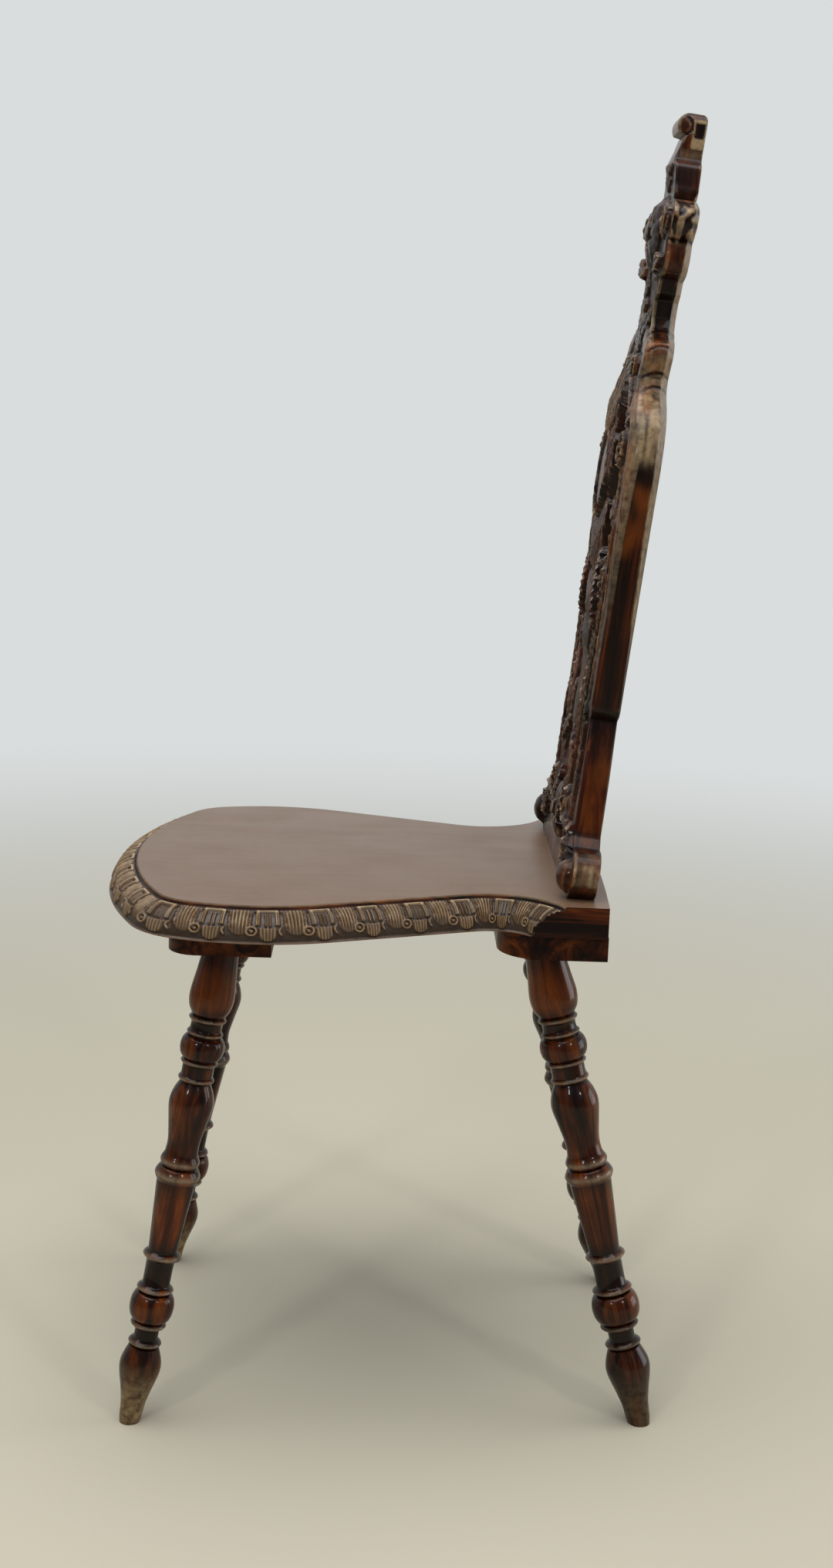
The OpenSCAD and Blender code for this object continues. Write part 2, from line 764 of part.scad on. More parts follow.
seat_board();
front_batten();
rear_batten();
leg_front_left();
leg_front_right();
leg_rear_left();
leg_rear_right();
back_board();
back_wedge_left();
back_wedge_right();
front_batten_screws();
rear_batten_screws();
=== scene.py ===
"""Carved walnut sgabello chair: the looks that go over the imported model."""
import math

import bmesh
import bpy
import numpy as np
from mathutils import Matrix, Vector, noise


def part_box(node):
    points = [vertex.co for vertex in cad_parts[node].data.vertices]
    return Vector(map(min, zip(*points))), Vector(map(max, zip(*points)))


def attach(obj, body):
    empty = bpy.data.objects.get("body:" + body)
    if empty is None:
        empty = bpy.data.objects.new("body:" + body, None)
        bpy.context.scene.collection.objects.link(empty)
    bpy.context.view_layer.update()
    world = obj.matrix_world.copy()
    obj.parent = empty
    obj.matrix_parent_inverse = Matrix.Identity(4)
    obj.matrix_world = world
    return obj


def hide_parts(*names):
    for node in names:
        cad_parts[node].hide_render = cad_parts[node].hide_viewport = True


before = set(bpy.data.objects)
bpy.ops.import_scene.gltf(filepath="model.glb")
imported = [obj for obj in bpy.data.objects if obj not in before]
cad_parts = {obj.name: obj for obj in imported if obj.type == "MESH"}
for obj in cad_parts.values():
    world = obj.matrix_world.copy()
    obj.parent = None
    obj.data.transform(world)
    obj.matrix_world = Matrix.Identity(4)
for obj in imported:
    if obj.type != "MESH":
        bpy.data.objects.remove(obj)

bl_info = {
    "name": "Carved Sgabello Chair",
    "version": (1, 0, 0),
    "blender": (4, 5, 0),
    "location": "View3D > Sidebar > Sgabello",
    "description": "Carved seat and back, turned legs and walnut finishes",
    "category": "Object",
}

MM = 0.001
# Points closer than this, in metres, are one
TOUCHING = 1e-7
SEAT_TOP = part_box("seat_board")[1][2]

# The plan of the seat, in millimetres, with the front at -y
SEAT_DEPTH, LOBE_WIDTH, WAIST_WIDTH, BLOCK_WIDTH = 400, 374, 254, 326
LOBE_SETBACK, WAIST_SETBACK, RIM_WIDTH = 111, 96, 23
REAR_BOW, REAR_STEPS = 4, 24
FRONT_Y = -SEAT_DEPTH / 2
REAR_Y = FRONT_Y + SEAT_DEPTH
FRONT_R, CORNER_R, SIDE_R, WAIST_R = 370, 45, 150, 62
FRONT_C = Vector((0, FRONT_Y + FRONT_R))
SIDE_C = Vector((LOBE_WIDTH / 2 - SIDE_R, FRONT_Y + LOBE_SETBACK))
WAIST_C = Vector((WAIST_WIDTH / 2 + WAIST_R, REAR_Y - WAIST_SETBACK))

# The backboard, in millimetres: its length and thickness, how far it stands in from the seat's rear edge,
# and the radii of its crest's roll and of its rear top edge
BACK, BACK_THICK, BACK_INSET, ROLL, REAR_ROUND = 634, 23, 14, 11, 6
# The steps between points across its front, down a side wall and across its rear, and the last one's number
FRONT, WALL, BEHIND = 136, 26, 10
LAST = 2 * (WALL + 1) + FRONT + BEHIND
# The parts of its section, which are marked differently
FACE, ARRIS, FLAT, BEVEL, REAR = range(5)
# Where a quarter circle's middle lies between its corner and its centre, as a share of the radius
QUARTER = 0.293


def linear(hex_colour):
    """An sRGB hex colour as linear red, green and blue."""
    parts = [int(hex_colour[i:i + 2], 16) / 255 for i in (1, 3, 5)]
    return [p / 12.92 if p <= 0.04045 else ((p + 0.055) / 1.055) ** 2.4 for p in parts]


def length(name, text, value):
    return bpy.props.FloatProperty(
        name=name, description=text, default=value * MM, subtype="DISTANCE", unit="LENGTH")


def colour(name, text, hex_colour):
    return bpy.props.FloatVectorProperty(
        name=name, description=text, default=linear(hex_colour), size=3, subtype="COLOR", min=0, max=1)


class SgabelloSeatSizes(bpy.types.PropertyGroup):
    """Sizes of the carved seat"""
    thickness: length("Plank", "Thickness of the seat plank", 25.5)
    rim_width: length("Moulding", "Width of the rounded moulding outside the flat top", RIM_WIDTH)
    rim_step: length("Step", "Step from the flat top down to the moulding", 2.5)
    carving_depth: length("Carving depth", "Depth of the ground behind the carved leaves", 2.4)
    motif: length("Motif", "Length of one leaf and one frame along the rim", 41)
    grid: length("Grid", "Spacing of the carved surface's points", 0.64)


class SgabelloBackSizes(bpy.types.PropertyGroup):
    """Sizes of the carved backboard"""
    length: length("Length", "Length of the board along its own face", BACK)
    thickness: length("Thickness", "Thickness of the board without its carving", BACK_THICK)
    lean: bpy.props.FloatProperty(
        name="Lean", description="Backward lean of the board", default=math.radians(6.6),
        subtype="ANGLE", unit="ROTATION")
    row: length("Row spacing", "Spacing of the carved surface's rows", 1.9)
    shield: length("Cartouche", "Height of the carved cartouche above the face", 16)
    leaf: length("Leaf", "Height of the acanthus leaves above the face", 8)


class SgabelloLegSizes(bpy.types.PropertyGroup):
    """Sizes of the turned legs"""
    steps: bpy.props.IntProperty(name="Steps", description="Steps round a turned leg", default=72, min=24)
    rear_stoutness: bpy.props.FloatProperty(
        name="Rear stoutness", description="Stoutness of a rear leg against a front leg", default=1.09,
        subtype="FACTOR")


class SgabelloColours(bpy.types.PropertyGroup):
    """Colours of the wood and its finish"""
    heart: colour("Heartwood", "Stained walnut in the middle tone", "#401805")
    dark: colour("Dark grain", "Late wood and stain gathered in the pores", "#0e0301")
    # also the painted light on the legs' urns
    light: colour("Light grain", "Early wood glowing amber through the polish", "#7c3d0c")
    rim: colour("Rim", "Golden brown of the rim, where the stain has worn thin", "#64482c")
    seat: colour("Seat", "Faded and waxed top of the seat", "#725945")
    # ring edges: dust and wear, and also a painted highlight along each ring's crest
    ring: colour("Ring edges", "Edges of the turned rings, dusted grey brown", "#887862")
    # worn high edges of the carving; on the back also painted highlights
    gilt: colour("Carving edges", "High edges of the carving, rubbed to golden tan", "#bba27e")
    # bare wood at the legs' toes; on the back also painted highlights on the shoulder and frame and a painted
    # reflection along the rear bevel
    scuffed_and_highlight: colour("Scuffs", "Bare olive tan wood where shoes and mops strike", "#8a7553")
    # also the painted shade on the carving's ground, in the quirks and in the turned necks, besides the dark in
    # the pores
    grime_and_shade: colour("Grime", "Old wax and dust in the hollows", "#0d0402")
    floor: colour("Floor", "Pale studio floor", "#c2bca8")
    backdrop: colour("Backdrop", "Pale wall behind the chair", "#d9dddd")


def unit(degrees):
    a = math.radians(degrees)
    return Vector((math.cos(a), math.sin(a)))


def angle_to(start, end):
    return math.degrees(math.atan2(end.y - start.y, end.x - start.x))


def corner_centre():
    a, ra, b, rb = SIDE_C, SIDE_R - CORNER_R, FRONT_C, FRONT_R - CORNER_R
    gap = (b - a).length
    along = (gap * gap + ra * ra - rb * rb) / (2 * gap)
    aside = math.sqrt(ra * ra - along * along)
    turn = angle_to(a, b)
    return a + along * unit(turn) - aside * unit(turn + 90)


def rim_path():
    """The right half of the flat top's edge, as arcs and a line with their turns in degrees."""
    corner_c = corner_centre()
    front_turn = angle_to(FRONT_C, corner_c)
    side_turn = angle_to(SIDE_C, corner_c)
    gap = (WAIST_C - SIDE_C).length
    straight = angle_to(SIDE_C, WAIST_C) - math.degrees(math.acos((SIDE_R + WAIST_R) / gap))
    block = 180 - math.degrees(math.acos((WAIST_C.x - BLOCK_WIDTH / 2) / WAIST_R))
    start = SIDE_C + SIDE_R * unit(straight)
    end = WAIST_C - WAIST_R * unit(straight)
    return [
        ("arc", FRONT_C, FRONT_R, -90, front_turn),
        ("arc", corner_c, CORNER_R, front_turn, side_turn),
        ("arc", SIDE_C, SIDE_R, side_turn, straight),
        ("line", start, end, straight, straight),
        ("hollow", WAIST_C, WAIST_R, 180 + straight, block),
    ]


def walk(path):
    """The path's whole length, and a function that gives the point and outward direction at a length."""
    lengths = [(b - a).length if kind == "line" else abs(math.radians(end - start)) * b
               for kind, a, b, start, end in path]

    def at(s):
        for (kind, a, b, start, end), size in zip(path, lengths):
            if s <= size or (kind, a) == (path[-1][0], path[-1][1]):
                f = s / size
                turn = start + (end - start) * f
                if kind == "line":
                    return a.lerp(b, f), unit(start)
                if kind == "arc":
                    return a + b * unit(turn), unit(turn)
                return a + b * unit(turn), -unit(turn)
            s -= size

    return sum(lengths), at


def ramp(low, high, value):
    """A smooth step from 0 at low to 1 at high."""
    t = np.clip((value - low) / (high - low), 0, 1)
    return t * t * (3 - 2 * t)


def span(value, rise, full, ease, end):
    """A smooth step up from rise to full, and down again from ease to end."""
    return ramp(rise, full, value) * (1 - ramp(ease, end, value))


def ripple(turns):
    """A wave from 0 to 1, with a crest at each whole turn."""
    return 0.5 + 0.5 * np.cos(2 * math.pi * turns)


def domed(value):
    """A dome's height, from 1 where the value is 0 down to 0 where it is 1."""
    return np.sqrt(np.clip(1 - value, 0, 1))


def speckle(u, v, fine_u, fine_v, layer):
    """Smooth noise, from -1 to 1, at each pair of places."""
    return np.array([noise.noise(Vector((float(p) * fine_u, float(q) * fine_v, layer)))
                     for p, q in zip(u, v)])


def tongue(across, down, half, top, end):
    """How far inside a leaf with a round lower end a point is: above 0 inside, in millimetres."""
    start = end - half
    below = np.maximum(down - start, 0)
    reach = np.sqrt(across ** 2 + below ** 2)
    return np.minimum(half - reach, down - top)


def rim_carving(along, down, motif):
    """Height of the rim's carving over its ground, 0 to 1: fluted leaves and arched frames with darts."""
    x = (along + motif / 4) % motif - motif / 4
    serration = 0.9 * np.abs(np.sin(down * math.pi / 3.2))
    blade = tongue(x, down, 9.6 - serration, -2, 28)
    veins = ripple((x + 0.012 * x * down) / 3.0)
    fluted = 0.3 + 0.7 * veins * (1 - 0.5 * ramp(18, 25, down))
    edge = np.abs(x)
    lobes = 1 - 0.35 * ramp(0.4, 1, np.abs(np.sin((down - edge * 0.9) * math.pi / 6.4))) * ramp(4.5, 8, edge)
    leaves = ramp(0, 1.0, blade) * fluted * lobes * (1 - 0.2 * (x / 10) ** 2)
    # the frame stands half a motif further on
    x = x - motif / 2
    side = np.abs(x)
    outer = np.minimum(8.8 - side, np.minimum(down - 0.6, 19.5 - down))
    inner = np.minimum(5.4 - side, down - 4.6)
    slot = 1 - 0.5 * (1 - ramp(0.2, 0.7, np.abs(side - 7.1))) * ramp(4, 6, down)
    frames = ramp(0, 0.7, np.minimum(outer, -inner)) * slot
    darts = ramp(0, 0.7, tongue(side - 1.6, down, 0.95, 6.4, 20)) * 0.75
    bud = tongue(x, down, 7.0 - 0.5 * serration, 20.8, 33)
    buds = ramp(0, 0.9, bud) * (0.4 + 0.45 * ripple(x * (1 + 0.02 * (down - 20)) / 2.6))
    hook = np.minimum(1.3 - np.abs(np.hypot(side - 11.6, down - 24.0) - 3.6), down - 19.5)
    hooks = ramp(0, 0.8, hook) * 0.8
    comma = ramp(0, 0.8, 1.9 - np.hypot(side - 11.4, down - 24.2)) * 0.7
    lip = ramp(33.4, 34.6, down) * 0.7
    return np.maximum.reduce([leaves, frames, darts, buds, hooks, comma, lip])


def grid_mesh(columns, rows):
    """A flat grid whose x and y run from 0 to 1."""
    bm = bmesh.new()
    bm.loops.layers.uv.new("surface")
    bmesh.ops.create_grid(bm, x_segments=columns, y_segments=rows, size=0.5, calc_uvs=True)
    bmesh.ops.translate(bm, verts=bm.verts, vec=(0.5, 0.5, 0))
    return bm


def trim(bm, geom, place, outward):
    """Cuts away what lies beyond a plane."""
    bmesh.ops.bisect_plane(
        bm, geom=geom, dist=TOUCHING, plane_co=place, plane_no=outward, clear_outer=True)


def close(bm):
    """Fills every open loop with a face."""
    bmesh.ops.holes_fill(bm, edges=[e for e in bm.edges if e.is_boundary], sides=0)


def finished(bm, name, sharp=None):
    """The mesh as a smooth object at the origin, turned outwards if its sharp edges have an angle."""
    if sharp:
        bmesh.ops.recalc_face_normals(bm, faces=bm.faces)
    mesh = bpy.data.meshes.new(name)
    bm.to_mesh(mesh)
    bm.free()
    mesh.shade_smooth()
    if sharp:
        mesh.set_sharp_from_angle(angle=math.radians(sharp))
    piece = bpy.data.objects.new(name, mesh)
    bpy.context.scene.collection.objects.link(piece)
    return piece


def marks(bm):
    """The layers that the finishes read: worn edges with painted highlights, hollows with painted shade and old
    wax, the wood's own directions, and in the last one where the stain is golden, with painted light on the
    legs' urns (y), and where the wood is worn bare, with painted highlights on the back (z)."""
    layers = bm.verts.layers
    return (layers.float.new("worn_and_highlit"), layers.float.new("hollow"),
            layers.float_vector.new("wood"), layers.float_vector.new("finish"))


def centring():
    """How far the plan's own middle lies from the chair's, front to back."""
    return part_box("seat_board")[0][1] / MM - (FRONT_Y - RIM_WIDTH)


class SGABELLO_OT_seat(bpy.types.Operator):
    """Carve the seat: a flat top with a quirk, and a rounded rim of fluted leaves and arched frames"""
    bl_idname = "sgabello.seat"
    bl_label = "Seat"

    def execute(self, context):
        sizes = context.scene.sgabello_seat
        thick, width, crown = (
            v / MM for v in (sizes.thickness, sizes.rim_width, sizes.thickness - sizes.rim_step))
        total, at = walk(rim_path())
        periods = round(total / (sizes.motif / MM))
        motif = total / periods
        shift = centring()
        bottom = SEAT_TOP / MM - thick
        # the rim's profile: distances out from the flat top's edge and heights over the underside
        edge = [(-1.6, thick), (-0.9, thick - 0.08), (-0.35, thick - 0.4), (-0.06, thick - 1.0),
                (0.0, thick - 1.9), (0.15, thick - 3.0), (0.9, thick - 3.5), (1.7, thick - 3.1)]
        count = 38
        sweep = [(width * math.cos(math.radians(a)), crown * math.sin(math.radians(a)))
                 for a in np.linspace(81, 4, count)]
        foot = [(width - 0.25, 0.9), (width - 0.8, 0.25), (width - 1.8, 0.0), (width - 4, 0.0)]
        profile = edge + sweep + foot
        down = np.concatenate([[0], np.cumsum([math.dist(a, b) for a, b in zip(profile, profile[1:])])])
        down -= down[len(edge) - 1]
        columns = int(2 * total / (sizes.grid / MM))
        bm = grid_mesh(columns, len(profile) - 1)
        worn_and_highlit, hollow, wood, finish = marks(bm)
        flat = bm.faces.layers.float.new("plain")
        depth = sizes.carving_depth / MM
        for v in bm.verts:
            s = (v.co.x * 2 - 1) * total
            row = round(v.co.y * (len(profile) - 1))
            out, high = profile[row]
            point, outward = at(abs(s))
            a = profile[max(row - 1, 0)]
            b = profile[min(row + 1, len(profile) - 1)]
            run = Vector((b[0] - a[0], b[1] - a[1])).normalized()
            normal = Vector((-run.y, run.x))
            carved = len(edge) <= row < len(edge) + count
            raised = 0.0
            if carved:
                raised = float(rim_carving(abs(s), down[row] + 0.8, motif))
                tooling = noise.noise(Vector((s * 0.35, down[row] * 0.35, 3))) * 0.22
                drop = depth * (1 - raised) * min(1, (row - len(edge) + 1) / 2)
                out -= normal.x * (drop + tooling)
                high -= normal.y * (drop + tooling)
            side = math.copysign(1, s)
            place = point + outward * out
            v.co = Vector((side * place.x, place.y + shift, bottom + high)) * MM
            if carved:
                # painted shade on the carving's ground, with old wax
                v[hollow] = 0.95 * (1 - raised) ** 1.2
                v[worn_and_highlit] = raised ** 3
            else:
                # a painted shadow line along the quirk under the flat top's edge
                v[hollow] = 0.95 if len(edge) - 3 <= row < len(edge) else 0.0
                v[worn_and_highlit] = 0.3 if 1 <= row <= 3 else 0.0
            v[finish] = (0, 1 if row >= len(edge) else 0, 0)
            v[wood] = (v.co.x, v.co.z, v.co.y)
        for side in (-1, 1):
            behind = [f for f in bm.faces if all(v.co.y > (WAIST_C.y + shift) * MM for v in f.verts)]
            verts, edges = {v for f in behind for v in f.verts}, {e for f in behind for e in f.edges}
            geom = list(verts) + list(edges) + behind
            trim(bm, geom, (side * BLOCK_WIDTH / 2 * MM, 0, 0), (side, 0, 0))
        bmesh.ops.remove_doubles(bm, verts=bm.verts, dist=TOUCHING)
        carved = set(bm.faces)
        self.block(bm, shift, bottom, thick)
        for face in bm.faces:
            face[flat] = 0 if face in carved else 1
        piece = finished(bm, "seat_carved", sharp=50)
        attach(piece, "root")
        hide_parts("seat_board")
        # planed and waxed: a faded satin top that takes a broad sheen, over a rim worn golden on its high spots
        colours = context.scene.sgabello_colours
        piece.data.materials.append(walnut(
            "walnut, planed top and carved rim, waxed", colours, colours.gilt, gloss=0.36, shine=0.5,
            pore=0.5, least_wear_and_highlight=0.4, top=True))
        return {"FINISHED"}

    def block(self, bm, shift, bottom, thick):
        """The square block behind the waist, and the plank's flat top and underside."""
        open_edges = [e for e in bm.edges if e.is_boundary]
        rim_top = self.chain(open_edges, (bottom + thick) * MM)
        rim_low = self.chain(open_edges, bottom * MM)
        top, low = (self.rear_edge(bm, height, shift) for height in (bottom + thick, bottom))
        for i in range(REAR_STEPS):
            bm.faces.new([top[i], top[i + 1], low[i + 1], low[i]])
        bm.faces.new(rim_top + top)
        bm.faces.new(rim_low + low)
        # the block's two ends are still open, and their front edges follow the carving where the rim was cut
        close(bm)

    def rear_edge(self, bm, height, shift):
        """Points along the block's bowed rear edge, from the right side to the left."""
        half = BLOCK_WIDTH / 2
        radius = (half ** 2 + REAR_BOW ** 2) / (2 * REAR_BOW)
        wood = bm.verts.layers.float_vector["wood"]
        points = []
        for i in range(REAR_STEPS + 1):
            x = half - 2 * half * i / REAR_STEPS
            y = REAR_Y - radius + math.sqrt(radius ** 2 - x ** 2)
            v = bm.verts.new(Vector((x, y + shift, height)) * MM)
            v[wood] = (v.co.x, v.co.z, v.co.y)
            points.append(v)
        return points

    def chain(self, edges, height):
        """The rim's points at a height, from the left side round the front to the right."""
        found = {v for e in edges for v in e.verts
                 if all(abs(w.co.z - height) < TOUCHING for w in e.verts)
                 and v.co.y < REAR_Y * MM * 0.9}
        linked = {v: [] for v in found}
        for e in edges:
            a, b = e.verts
            if a in linked and b in linked:
                linked[a].append(b)
                linked[b].append(a)
        start = min((v for v in found if len(linked[v]) == 1), key=lambda v: v.co.x)
        path, seen = [start], {start}
        while True:
            onward = [w for w in linked[path[-1]] if w not in seen]
            if not onward:
                return path
            path.append(onward[0])
            seen.add(onward[0])


# The backboard's outline and side profile, in millimetres up the board and across it
def up(share):
    return share * BACK


def shared(*points):
    """Points whose second numbers are given as shares of the board's length."""
    return [(x, up(share)) for x, share in points]


def along(b, *rows, unit=BACK):
    """A value that follows rows of places and values, with the places as shares of the board's length."""
    return np.interp(b, [row[0] * unit for row in rows], [row[1] for row in rows])


def stretch(b, *shares):
    """A smooth step up and one down again, at four shares of the board's length."""
    return span(b, *(up(share) for share in shares))


def arc_points(centre, radius, start, end, steps):
    return [(centre[0] + radius * math.cos(math.radians(start + (end - start) * i / steps)),
             centre[1] + radius * math.sin(math.radians(start + (end - start) * i / steps)))
            for i in range(steps + 1)]


def curve_points(knots, steps):
    """A smooth curve through a list of points."""
    points, last = [], len(knots) - 1
    for k in range(last):
        a, b, c, d = knots[max(k - 1, 0)], knots[k], knots[k + 1], knots[min(k + 2, last)]
        for i in range(steps + (k == last - 1)):
            t = i / steps
            points.append(tuple(
                0.5 * (2 * b[j] + (c[j] - a[j]) * t + (2 * a[j] - 5 * b[j] + 4 * c[j] - d[j]) * t * t
                       + (3 * b[j] - a[j] - 3 * c[j] + d[j]) * t ** 3) for j in (0, 1)))
    return points


def back_outline():
    """The right edge of the board from the seat to the top, which never turns back down."""
    shoulder = shared((102, .24), (103, .3), (106, .45), (108.5, .53), (108, .56), (104.5, .585), (97, .607),
                      (86, .624), (74, .636), (64, .648), (60, .664))
    hollow = shared((50, .72), (44, .725), (38, .74), (38, .762), (45, .77), (47, .788))
    ear = shared((62, .835), (69, .842), (74, .858), (69, .874), (46, .886))
    neck = shared((35, .889), (35.5, .898), (33, .908), (31, .92), (28, .932), (21, .94), (19, .95))
    points = (arc_points((128, 20), 20, -90, 90, 22)
              + [(121, 39.9), (120.5, 40.2)]
              + curve_points(shared((112, .078), (105, .15), (92, .226)), 6)
              + shared((99, .232)) + curve_points(shoulder, 6)
              + arc_points((52, up(.69)), 15, 0, 80, 10) + hollow
              + arc_points((48, up(.815)), 17, -50, 15, 8) + curve_points(ear, 6)
              + curve_points(neck, 5) + arc_points((8, BACK - ROLL), ROLL, 0, 88, 12))
    kept = [points[0]]
    for p in points[1:]:
        if p[1] > kept[-1][1] + 0.02:
            kept.append(p)
    return kept


def face_height(b):
    """The front face above the board's plain face, up the crest's thinner neck, cove and forward roll."""
    neck_end = BACK - 17.5
    neck = along(b, (.88, 0), (.889, -3.5), (.907, -3), (.93, -1.5), (.937, 0), (.943, -1), (.955, -3.5),
                 ((BACK - 20) / BACK, -5.5), (neck_end / BACK, -7))
    roll = -10 + np.sqrt(np.clip(ROLL ** 2 - (b - (BACK - ROLL)) ** 2, 0, None))
    return np.where(b > neck_end, np.maximum(roll, np.where(b < BACK - ROLL, -7.0, -10.0)), neck)


def rear_height(b):
    """The rear face, rounded over at the top."""
    inside = np.clip(REAR_ROUND ** 2 - (b - (BACK - REAR_ROUND)) ** 2, 0, None)
    return np.where(b > BACK - REAR_ROUND, REAR_ROUND - BACK_THICK - np.sqrt(inside), -BACK_THICK)


def beside(x, b, p, q):
    """Where the line from p to q is nearest to points, from 0 to 1, and how far off it is there."""
    run = (q[0] - p[0], q[1] - p[1])
    size = max(run[0] ** 2 + run[1] ** 2, 1e-9)
    t = np.clip(((x - p[0]) * run[0] + (b - p[1]) * run[1]) / size, 0, 1)
    return t, np.hypot(x - p[0] - t * run[0], b - p[1] - t * run[1])


def stroke(x, b, points, wide, high, reeds=0, lobes=0):
    """A raised rounded stem along points, with its widths and heights at the ends, leafy if it has lobes."""
    height = np.zeros_like(x)
    count = len(points) - 1
    for i, (p, q) in enumerate(zip(points, points[1:])):
        t, near = beside(x, b, p, q)
        share = (i + t) / count
        w = wide[0] + (wide[1] - wide[0]) * share
        if lobes:
            w = w * (0.66 + 0.5 * ((share * lobes) % 1) ** 0.7)
        h = high[0] + (high[1] - high[0]) * share
        r = np.clip(near / w, 0, 1)
        body = domed(r ** 2.4)
        if reeds:
            body = body * (0.8 + 0.2 * np.cos(near / w * math.pi * reeds))
        height = np.maximum(height, h * body)
    return height


def spiral(centre, radius, start, turns, hand=1, tight=0.24, steps=30):
    """Points on a scroll that winds in towards its eye."""
    points = []
    for i in range(steps + 1):
        f = i / steps
        a = math.radians(start) + hand * f * turns * 2 * math.pi
        r = radius * (1 - f) + radius * tight * f
        points.append((centre[0] + r * math.cos(a), centre[1] + r * math.sin(a)))
    return points


def leaf(x, b, root, aim, size, half, high, lobes=4, curl=0.0):
    """An acanthus leaf: lobed edges, a sunk midrib with side veins, and a tip that lifts."""
    a = math.radians(aim)
    p = ((x - root[0]) * math.cos(a) + (b - root[1]) * math.sin(a)) / size
    q = (-(x - root[0]) * math.sin(a) + (b - root[1]) * math.cos(a)) / size
    q = q - curl * p * p
    inside = np.clip(p, 0, 1)
    plan = half / size * np.sin(math.pi * inside ** 0.72) ** 0.8 * (1 - 0.25 * inside)
    teeth = 1 - 0.3 * (0.5 - 0.5 * np.cos(2 * math.pi * (inside * lobes + np.abs(q) * 1.6))) ** 1.5
    edge = (plan * teeth - np.abs(q)) * size
    mask = ramp(0, 1.6, edge) * (p > 0) * (p < 1)
    vein = ripple(inside * lobes * 2 - np.abs(q) * 7)
    rib = 1 - ramp(0.2, 1.5, np.abs(q) * size)
    swell = 0.62 + 0.38 * np.sin(math.pi * np.clip(inside * 1.05, 0, 1)) + 0.25 * inside ** 3
    return mask * high * (swell - 0.18 * vein * (1 - rib) - 0.25 * rib)


def boss(x, b, centre, radius, high, petals=0):
    """A domed boss, plain or with petals and an eye."""
    d = np.hypot(x - centre[0], b - centre[1]) / radius
    dome = domed(d ** 2)
    if petals:
        a = np.arctan2(b - centre[1], x - centre[0])
        dome = dome * (0.72 + 0.28 * np.abs(np.cos(a * petals / 2)) ** 0.7)
        dome = np.where(d < 0.3, np.maximum(dome, 0.85 + 0.35 * domed((d / 0.3) ** 2)), dome)
        dome = dome * (1 - 0.45 * np.exp(-((d - 0.33) / 0.05) ** 2))
    return high * dome


# How high the middle of the relief stands, with the drop below each hanging leaf tip, and its half width,
# both at millimetres up the board
CASCADE = (
    (112, 0), (120, 2.8), (141, 3), (163, 2), (184, 2.6), (187, 5), (194, 6.6), (213, 5.9), (217, 6.6),
    (221, 8.3), (235, 8.8), (244, 7.2), (254, 7), (257, 9.4), (266, 11), (277, 12.4), (304, 11), (306, 12.4),
    (314, 12.2), (317, 15.6), (330, 15.8), (351, 16.2), (368, 14.2), (371, 16.4), (383, 16.3), (394, 14),
    (404, 12.5), (415, 10.3), (426, 7.5), (437, 4), (446, 0))
HALF_WIDTH = (
    (112, 5), (125, 13), (150, 19), (184, 25), (187, 18), (205, 28), (215, 31), (219, 24), (240, 33),
    (254, 35), (258, 28), (280, 38), (304, 40), (315, 41), (318, 33), (345, 42), (368, 43), (372, 36),
    (395, 39), (415, 31), (432, 18), (446, 4))


def edge_rise(b):
    """How far the moulding that follows the outline stands above the plain face."""
    return along(b, (.22, 0), (.24, 1.6), (.36, 2.4), (.46, 5), (.56, 7), (.62, 6.5), (.65, 3), (.71, 2),
                 (.73, 0))


def edge_round(b):
    """Radius of the outline's rounded front edge."""
    return along(b, (0, 1.5), (.03, 3), (.21, 3), (.24, 2.5), (.36, 3.5), (.48, 6), (.55, 9), (.6, 11),
                 (.66, 7), (.74, 4), (.8, 4), (.88, 5), (.9, 2), (1, 1.5))


def rear_bevel(b):
    """Depth of the long bevel that thins the board behind its edges."""
    return along(b, (.23, .8), (.27, 2), (.4, 4.5), (.52, 7), (.62, 8), (.72, 6.5), (.84, 6), (.885, 4),
                 (.9, .8), ((BACK - REAR_ROUND) / BACK, .8), (1, 0))


